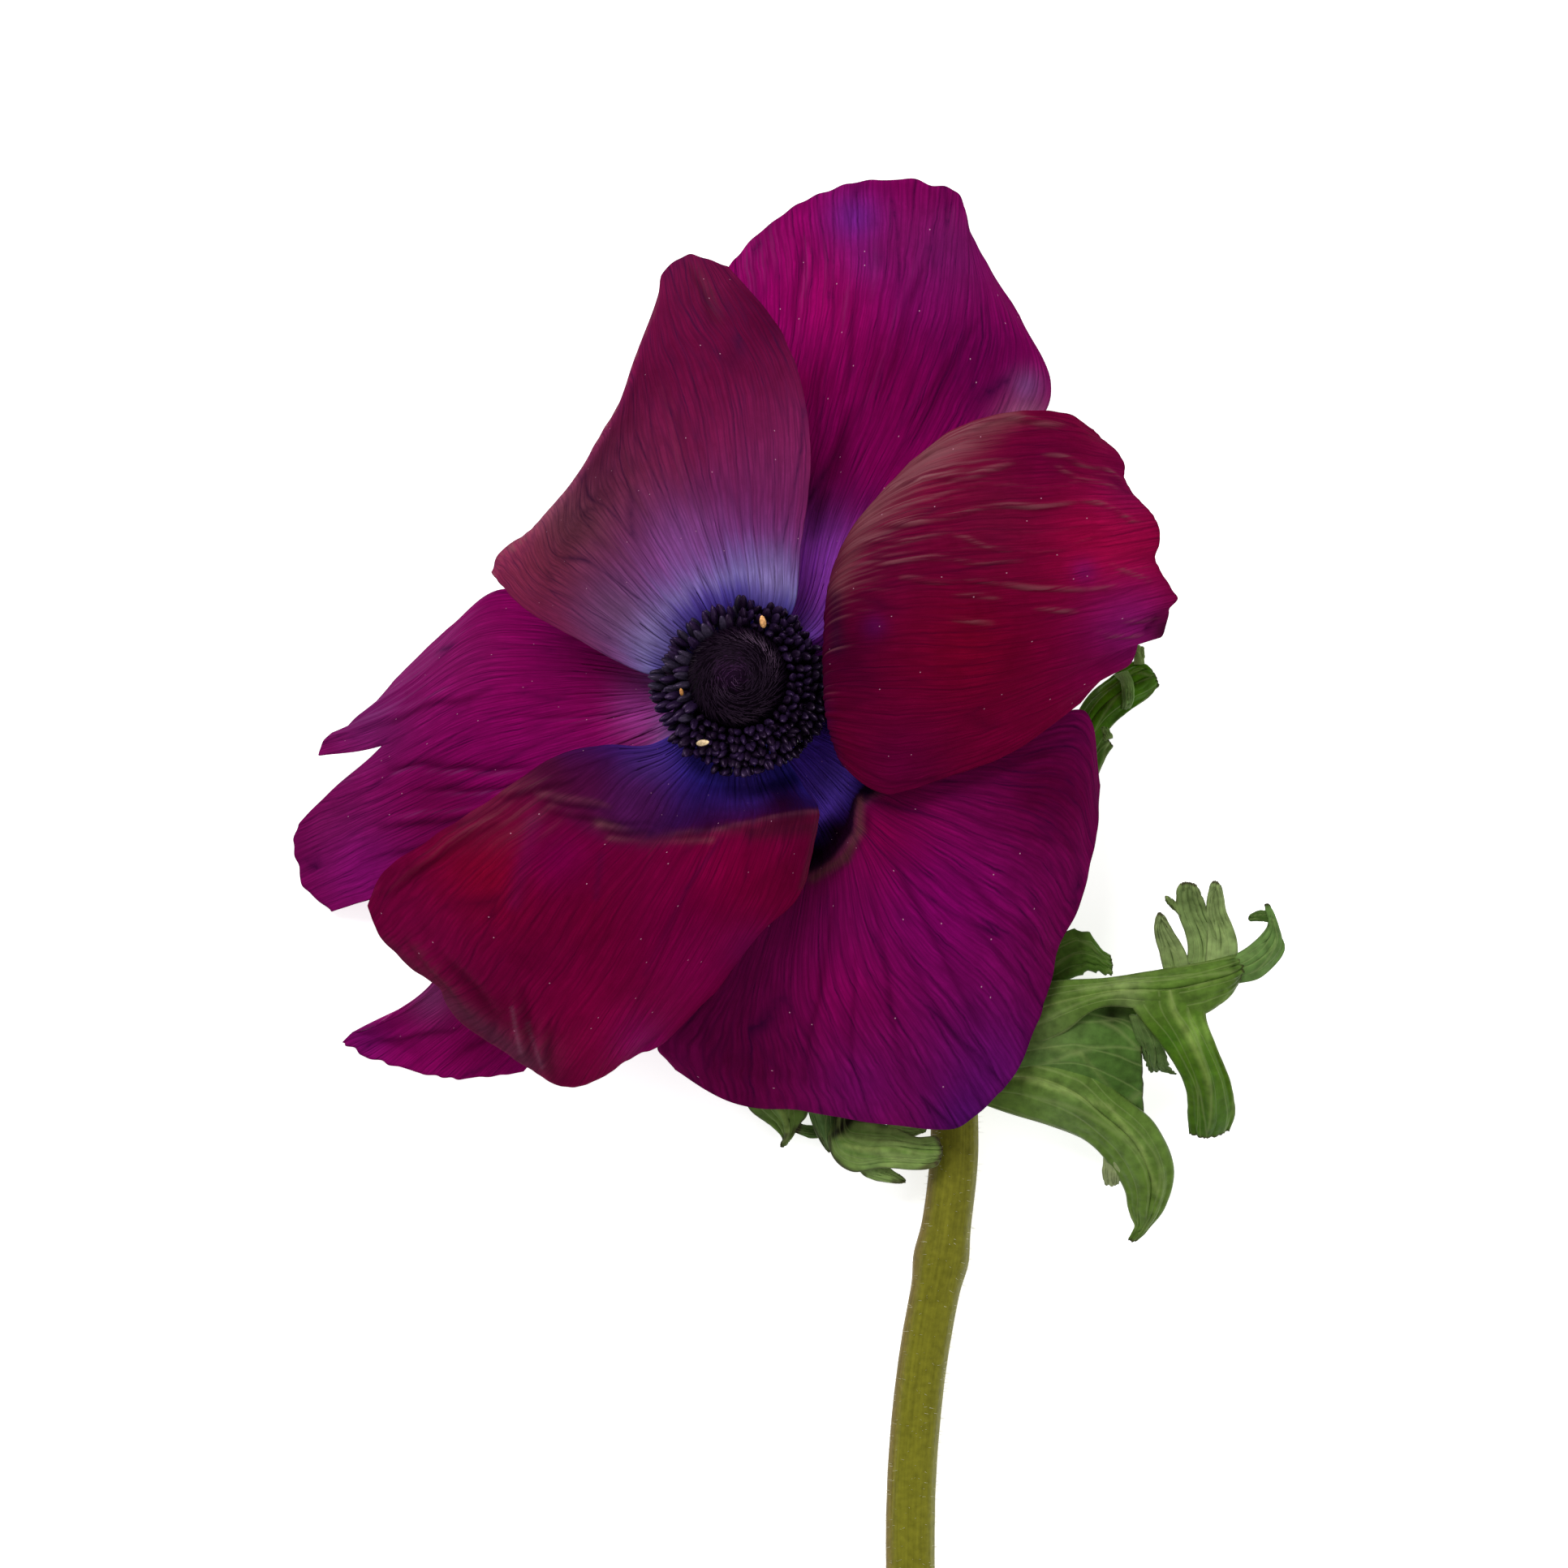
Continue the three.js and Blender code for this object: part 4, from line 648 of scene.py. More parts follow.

# %% [markdown]
# Each petal is listed with its ground colour and what lies on it. Places are in
# millimetres round the bloom's middle, and a span is two shares of the petal's length.
#
# - ring, from the base outwards: share of the length, colour, strength. A fray under 1
#   makes its edge less ragged.
# - washes: place, radius, colour, strength and, for some, a span that they keep to
# - strokes: line, width, colour, strength and, for some, a span
# - creases: line, width, height
# - painted sheen: strength, how squarely it has to face the sheen's side to start and to
#   be whole, and for some the share of the length where it starts. Crest is how much more
#   of the painted sheen the creases' crests show.
# - silk: height, waves and span across of the comb of pleats
# - notch: where it starts, is deepest and ends, as shares across, and its depth
# - steps: the grid's steps across and along, where fine pleats need more
#
# Three petals stand in the inner layer and four in the outer.

# %% Colours and creases of the seven petals
PETAL_LOOKS = {
    "petal_inner_upper_left": dict(
        material=mauve, slot="petal_crimson", seed=11, ground="741444", down_and_painted_sheen=(0.5, 0.66, 0.98),
        crest=0.12, silk=(0.03, 16, 0, 0.5),
        ring=[(0, "241a68", 1), (0.14, "382c8c", 1), (0.18, "5248a4", 1), (0.225, "8176bc", 1),
              (0.28, "7a5ca6", 0.95), (0.34, "743f88", 0.75), (0.43, "6c2c70", 0.4), (0.54, "6a2a60", 0)],
        # the brownish wash at (-18, 16) is a painted sheen on the rolled left margin
        washes=[(3, 37, 6, "3c0424", 0.9), (-14, 18, 8, "743854", 0.6), (-18, 16, 4, "7c4a58", 0.7),
                (-21, 12, 5, "86304a", 0.7), (4, 22, 7, "7a2a62", 0.5), (-4, 34, 8, "640a36", 0.7),
                (-12.5, 7.5, 4.5, "6a4468", 0.85), (-9, 4.5, 3, "8a7eb0", 0.5),
                (-6, 14, 4, "8c5098", 0.6), (3, 11, 2.6, "9c86c0", 0.5), (-4, 40, 4, "5e1236", 0.6)],
        creases=[(-3, 12, -8, 30, 0.6, 0.15), (-2, 36, -5, 42, 0.6, 0.25), (-16, 9, -21, 13, 0.5, 0.08),
                 (-11, 12, -16, 18, 0.5, 0.1), (-8, 15, -13, 25, 0.4, 0.15)]),
    "petal_inner_right": dict(
        material=crimson, slot="petal_crimson", seed=23, steps=(224, 100), ground="66032b",
        down_and_painted_sheen=(0.6, 0.64, 0.97), crest=0.5, silk=(0.04, 26, 0, 0.45),
        ring=[(0, "2a2078", 1), (0.2, "40248c", 1), (0.3, "3c1458", 0.5), (0.38, "4a1040", 0)],
        # the wash at (10, 3) is painted shade on the side that turns from the light, and the one at (36,
        # 14) is painted light on the lit side
        washes=[(10, 3, 6, "3c0120", 0.9), (14, 12, 5, "4c0828", 0.7), (20, 8, 7, "5e032a", 0.6),
                (25, 18, 6, "600f2c", 0.6), (30, 22, 5, "54022a", 0.8), (36, 14, 6, "9c083c", 0.8),
                (26, -3, 7, "6e0030", 0.8), (33, 1, 5, "740032", 0.7), (22, 4, 6, "680218", 0.6),
                (13, 6, 1.2, "3e1266", 0.25), (33.5, 11.4, 1.3, "4c1060", 0.4),
                (38, 6, 4.5, "7c1462", 0.8), (34, 1, 3, "700640", 0.5), (38, 20, 4, "6a0a40", 0.6),
                (41.6, 5.6, 1.6, "2a0c1c", 0.8), (15.5, -8, 5, "580234", 0.7)],
        # the three pale strokes along the upper left edge are a painted sheen, and the dark one from (9.3,
        # 4) to (9.2, 9) is painted shade along the left edge
        strokes=[(9.2, 9.6, 12.4, 17.2, 1, "6a3a40", 0.5), (12.4, 17.2, 18.6, 23.2, 1.3, "6e4046", 0.6),
                 (18.6, 23.2, 26.5, 26.6, 1, "6e4046", 0.5), (9.3, 4, 9.2, 9, 0.8, "2c0a26", 0.7)],
        creases=[(13.3, 15.4, 18.7, 16.7, 0.24, 0.22), (18.7, 16.7, 24, 17.5, 0.2, 0.26),
                 (24, 17.5, 32.7, 18.2, 0.2, 0.28), (32.7, 18.2, 36, 17.5, 0.2, 0.22),
                 (36, 17.5, 38.5, 16.2, 0.2, 0.2), (11.5, 14, 20.3, 15.2, 0.19, 0.16),
                 (20.3, 14.8, 26.5, 13.4, 0.18, 0.14), (13.8, 12.3, 20.3, 12.6, 0.18, 0.16),
                 (20.3, 12.6, 27.8, 12, 0.18, 0.16), (15.8, 10.5, 21.2, 10.6, 0.19, 0.2),
                 (21.2, 10.6, 25.3, 9.9, 0.19, 0.22), (25.3, 9.9, 33.5, 9.7, 0.2, 0.24),
                 (33.5, 9.7, 36.8, 10.1, 0.19, 0.16), (20.3, 8.8, 25.3, 8.6, 0.2, 0.14),
                 (28.6, 7.8, 32.7, 7.6, 0.18, 0.16), (19.9, 6.4, 24.9, 6.4, 0.18, 0.16),
                 (14.2, 19.7, 21.6, 20.6, 0.24, 0.2), (21.6, 20.6, 26.9, 22.4, 0.24, 0.2),
                 (20.3, 24.5, 25.3, 26.3, 0.3, 0.2), (25.3, 26.3, 31.5, 26.2, 0.3, 0.2),
                 (29.4, 22.8, 35.2, 21.8, 0.19, 0.16), (35.2, 21.8, 37.6, 20.2, 0.19, 0.16),
                 (30.6, 21.6, 36.8, 19.4, 0.19, 0.14), (16, 22, 20, 23.6, 0.24, 0.14),
                 (36.8, 6.9, 40.9, 6.8, 0.2, 0.2), (34.7, 5.6, 39.3, 5, 0.2, 0.2),
                 (36, 12.2, 40, 10.4, 0.2, 0.14), (41, 7.2, 39.4, 5.2, 0.4, -0.4)]),
    "petal_inner_lower_left": dict(
        material=crimson, slot="petal_crimson", seed=37, steps=(144, 156), ground="5e022e",
        down_and_painted_sheen=(0.2, 0.7, 0.97, 0.46), crest=0.08, silk=(0.03, 18, 0.3, 1), fray=0.3,
        ring=[(0, "6a60bc", 1), (0.1, "3a3098", 1), (0.2, "2c2288", 1), (0.32, "241a6c", 1),
              (0.405, "1c1050", 1), (0.425, "30123c", 0.95), (0.44, "4c1c34", 0.7), (0.47, "4c1c34", 0)],
        # the near-black wash at (4, -11.4) is painted shade in the valley before the ridge
        washes=[(4, -11.4, 2.8, "06021c", 0.95, 0.2, 0.43), (0.4, -9, 2, "44309c", 0.8, 0.1, 0.4),
                (-4, -12, 4, "140a38", 0.6, 0.2, 0.42), (-10, -12.6, 3, "2a0c34", 0.7, 0.2, 0.44),
                (-15, -10.5, 6, "4a0a34", 0.95, 0.12, 0.46), (-20, -9, 5, "3c0a2c", 0.8),
                (-9, -7.5, 2.6, "5a3a92", 0.6, 0.1, 0.4), (-10.5, -11, 3.4, "4a1650", 0.8, 0.14, 0.42),
                (-25, -18, 6, "76031f", 0.8), (-31, -26, 6, "70043a", 0.6), (0, -20, 6, "720030", 0.8),
                (-15, -33, 6, "82023c", 0.8), (-9, -28, 4, "72052c", 0.5), (-5, -28, 6, "7c0046", 0.8),
                (-10, -35, 3, "7c0658", 0.6), (1, -26, 3, "660a4c", 0.6), (-18, -17, 3.4, "660040", 0.7),
                (-21, -37, 3, "6a2040", 0.5), (-26, -12, 4, "5a1030", 0.6), (-15, -22, 5, "640128", 0.6)],
        # the six pale strokes along the ridge are a painted sheen
        strokes=[(-14, -13.3, -7, -13.9, 0.45, "75464c", 0.55, 0.44, 0.7),
                 (-7, -13.9, -2, -13.6, 0.4, "75464c", 0.55, 0.44, 0.7),
                 (-2, -13.6, 3, -12.5, 0.35, "6c3c48", 0.5, 0.44, 0.7),
                 (3, -12.5, 7.3, -12, 0.3, "5c2c3c", 0.6, 0.44, 0.7),
                 (-13, -14.8, -3, -15, 0.3, "6c3c44", 0.4, 0.46, 0.7),
                 (-20, -10.4, -13, -11.6, 0.35, "5c2c3c", 0.4, 0.4, 0.7),
                 # this wide dark stroke is painted shade just beyond the ridge
                 (1, -14.2, 6.6, -13.6, 1.0, "3c0c20", 0.8, 0.46, 0.8),
                 (7.4, -13, 5.8, -19.5, 0.35, "4a1c2c", 0.6),
                 # the two brown bands along the lower left margin are a painted sheen on its roll, and the
                 # two thin pale strokes after them are painted highlights on pleats
                 (-35.6, -25.4, -30.4, -29.6, 0.9, "4c2030", 0.5),
                 (-29.2, -31, -21, -37, 1.3, "4e2238", 0.75),
                 (-22.6, -31.4, -21.9, -36, 0.18, "6e4056", 0.5),
                 (-21.2, -32.8, -19.8, -37.4, 0.18, "683a50", 0.5),
                 (-2.2, -15, -5.4, -19.6, 0.25, "38062c", 0.45),
                 (-5.4, -19.6, -9.6, -28, 0.25, "38062c", 0.35),
                 (-20.4, -13.4, -22.3, -21, 0.9, "560c42", 0.35),
                 (-13.8, -16.4, -14.3, -20.6, 0.3, "3c0830", 0.4)],
        creases=[(-20.3, -10.7, -12.7, -11.7, 0.4, 0.3), (-19.7, -11.7, -6.7, -14, 0.4, 0.3),
                 (7.4, -12.4, 1, -13.1, 0.45, 0.25), (1, -13.1, -8, -14.2, 0.45, 0.25),
                 (-8, -14.4, -14, -13.4, 0.45, 0.3), (-16, -8.6, -24, -10.6, 0.4, 0.3),
                 (-22.3, -29, -21.3, -37, 0.6, 0.45), (-19.7, -32, -19.3, -39, 0.5, 0.4),
                 (-26, -14, -36, -20, 0.5, 0.3), (-24, -13, -32, -17.5, 0.4, 0.25),
                 (-30, -26, -24, -33, 0.7, -0.4), (-33, -24, -26, -32.5, 0.5, 0.3)]),
    "petal_outer_top": dict(
        material=magenta, slot="petal_magenta", seed=41, ground="7c0452", down_and_painted_sheen=(0.35, 0.75, 1.0),
        ring=[(0, "5a34a0", 1), (0.15, "7a4ab4", 1), (0.25, "6a3094", 0.9), (0.38, "641a70", 0.5),
              (0.5, "641a70", 0)],
        washes=[(11.2, 47, 3, "4c2080", 0.6), (12.2, 42, 2.2, "5a1c70", 0.4), (14, 30, 7, "6a0240", 0.8),
                (24, 33, 7, "52023a", 0.8), (8, 38, 5, "8a0654", 0.6), (20, 44, 6, "5a1450", 0.7),
                (28, 24, 5, "5c0a48", 0.6), (8, 24, 6, "7a0450", 0.8), (28, 26, 2.4, "9c6080", 0.7),
                # the bright violet wash at (7, 12) is painted light, lifting the shade that the inner
                # petals cast there
                (7, 12, 4.2, "c85af0", 0.95), (17, 39, 4, "700a58", 0.5), (6, 30, 3, "70023c", 0.6),
                (28.2, 30, 1.6, "6a5a94", 0.3)],
        creases=[(11.5, 28, 8, 20, 0.9, -0.6), (8, 20, 7, 14, 0.8, -0.45), (18, 44, 13, 28, 0.5, 0.25),
                 (24, 38, 17, 24, 0.5, -0.25), (6, 46, 5, 34, 0.5, -0.2), (11, 40, 9.5, 27, 0.4, 0.2),
                 (14, 36, 11.5, 25, 0.4, -0.2), (21, 34, 16, 26, 0.4, 0.2),
                 (8, 34, 7.4, 24, 0.35, -0.2)]),
    "petal_outer_left": dict(
        material=magenta, slot="petal_magenta", seed=53, ground="7c0454", down_and_painted_sheen=(0.4, 0.7, 0.97),
        notch=(0.36, 0.53, 0.585, 0.2),
        ring=[(0, "7a5cb4", 1), (0.17, "8c5a9c", 1), (0.24, "86387c", 0.8), (0.34, "7a1a64", 0.3),
              (0.52, "7a1a70", 0)],
        washes=[(-25, 2, 8, "80054e", 0.6), (-40, -15, 7, "66144c", 0.8), (-31, 4, 6, "7a205e", 0.6),
                (-37, -3, 5, "64205c", 0.7), (-28, -4, 8, "80085a", 0.5), (-30, -12, 5, "600638", 0.7),
                (-15, -1, 5, "8c0658", 0.7), (-10.4, -1.8, 2.4, "a43c94", 0.8),
                (-38, -18, 4, "7c0c64", 0.8)],
        creases=[(-36, -7.7, -21, -7.9, 0.5, -0.4), (-37, -13.3, -26, -12, 0.5, 0.3),
                 (-33, -10, -20, -9.8, 0.45, -0.3), (-26, -2.7, -12.7, -2.7, 0.35, -0.15),
                 (-38, -17, -28, -15, 0.5, -0.25), (-38, -3.5, -25, 0.5, 0.5, 0.25)]),
    "petal_outer_lower_left": dict(
        material=magenta, slot="petal_magenta", seed=61, ground="88085c", down_and_painted_sheen=(0.4, 0.7, 1.0),
        ring=[(0, "6a4aa8", 1), (0.3, "8a3c96", 0.7), (0.5, "7a1a70", 0)],
        washes=[(-38, -35, 3, "5a1466", 0.4), (-31, -30.6, 2.4, "8c4a84", 0.5),
                (-26, -35, 5, "760446", 0.6)],
        creases=[(-39, -35, -27, -33, 0.5, 0.3), (-30, -38, -22, -32, 0.5, -0.25)]),
    "petal_outer_lower_right": dict(
        material=magenta, slot="petal_magenta", seed=71, ground="6c0848", down_and_painted_sheen=(0.4, 0.75, 1.0, 0.54),
        fray=0.2,
        ring=[(0, "3a2890", 1), (0.15, "4a2ca0", 1), (0.27, "6440c0", 1), (0.32, "341c78", 1),
              # the near-black band from 0.37 to 0.44 is painted shade in the deep pocket at the base, and
              # the brown after it is a painted sheen along the lip of the fold
              (0.37, "0e0518", 1), (0.44, "0e0518", 1), (0.465, "481c34", 1), (0.48, "5c2440", 0.6),
              (0.5, "5c2440", 0)],
        # the near-black washes at (9.4, -14.2) and (7.4, -16.8) are painted shade in the deep pocket at the
        # base
        washes=[(9.4, -9.6, 2, "5c44b4", 0.5, 0.0, 0.34), (9.4, -14.2, 2.2, "050107", 1.0, 0.3, 0.44),
                (7.4, -16.8, 2.4, "050107", 1.0, 0.3, 0.46), (20, -27, 9, "74085a", 0.6),
                # the washes at (0, -37) and (30, -10) are painted shadows of the inner petals above
                (25, -38, 7, "5e1068", 0.7), (0, -37, 7, "500430", 0.8), (30, -10, 6, "4a0126", 0.8),
                (15, -15, 6, "6a0238", 0.8, 0.5, 1.0), (20, -21, 6, "7c0460", 0.6),
                (22, -43, 4, "3c1060", 0.6), (10, -30, 5, "880456", 0.6), (12, -40, 5, "740e64", 0.6),
                (13.5, -14, 2, "6c0238", 0.6, 0.5, 1.0)],
        # these strokes are a painted sheen along the lip of the fold
        strokes=[(11.7, -11, 11.6, -14, 0.35, "5e3038", 0.9, 0.36, 1),
                 (11.6, -14, 10.2, -16.7, 0.4, "5e3038", 0.9, 0.36, 1),
                 (10.2, -16.7, 7, -18.8, 0.4, "5e3038", 0.9, 0.36, 1)],
        creases=[(11.9, -11.6, 11.6, -14.6, 0.5, 0.3), (11.6, -14.6, 8, -18.8, 0.5, 0.3),
                 (14, -16, 24, -34, 0.45, -0.25), (12, -19, 16, -40, 0.45, 0.25),
                 (18, -15, 31, -26, 0.45, 0.25), (9, -20, 6, -40, 0.5, -0.25),
                 (20, -12, 33, -16, 0.45, -0.2), (15, -24, 26, -41, 0.35, 0.2),
                 (11, -25, 11, -41, 0.35, -0.2), (22, -22, 31, -33, 0.4, -0.2)]),
}
print("washes laid:", sum(len(look["washes"]) for look in PETAL_LOOKS.values()))

# %% [markdown]
# With the sheet, the tissue and the list at hand, the seven petals are made in a loop.
# Each is one curved sheet. A modifier gives it its two faces and its rim, so the outside
# can have the paler, downy tissue of a real petal's back.

# %% Make the petals
for name, look in PETAL_LOOKS.items():
    def paint(places, u, v, facing, crest, look=look):
        """Washes, a painted sheen where the sheet faces its side and on crests, and strokes."""
        colours = painted(look["ground"], look["ring"], look["washes"], places, u, v, look["seed"],
                          look.get("fray", 1.0))
        # painted sheen: a paler, greyer tint where the sheet faces one side and on the crests of creases
        strength, low, high, *start = look["down_and_painted_sheen"]
        painted_sheen_share = strength * fade(facing, low, high) * (1 + 0.35 * ripple(look["seed"] + 8, u, 24))
        painted_sheen_share = np.clip(painted_sheen_share + look.get("crest", 0.0) * crest, 0, 1)
        if start:
            painted_sheen_share = painted_sheen_share * fade(v, start[0] - 0.02, start[0] + 0.02)
        colours = stroked(colours, look.get("strokes", ()), places, v)
        return np.maximum(colours, 0), painted_sheen_share * fade(v, 0.28, 0.4)

    bm = sheet_mesh(PETAL_NETS[name], look.get("steps", PETAL_STEPS), look["seed"], paint,
                    look["creases"], look.get("notch"), base_ribs=0.13,
                    silk=look.get("silk", PLAIN_SILK))
    petal = finished("fine_" + name, bm, look["material"], petal_back)
    give_thickness(petal, PETAL_THICK)
    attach(petal, "root")
    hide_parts(name)
    print(petal.name, len(petal.data.vertices), "points")

# %% [markdown]
# A leaf of the ruff is cut into narrow lobes with hooked tips. Each lobe has a net like a
# petal's, three points to a row, and starts inside the blade that carries it. Before the
# net stand its green, the depth of its midrib's groove in millimetres, and how deep its
# teeth are.

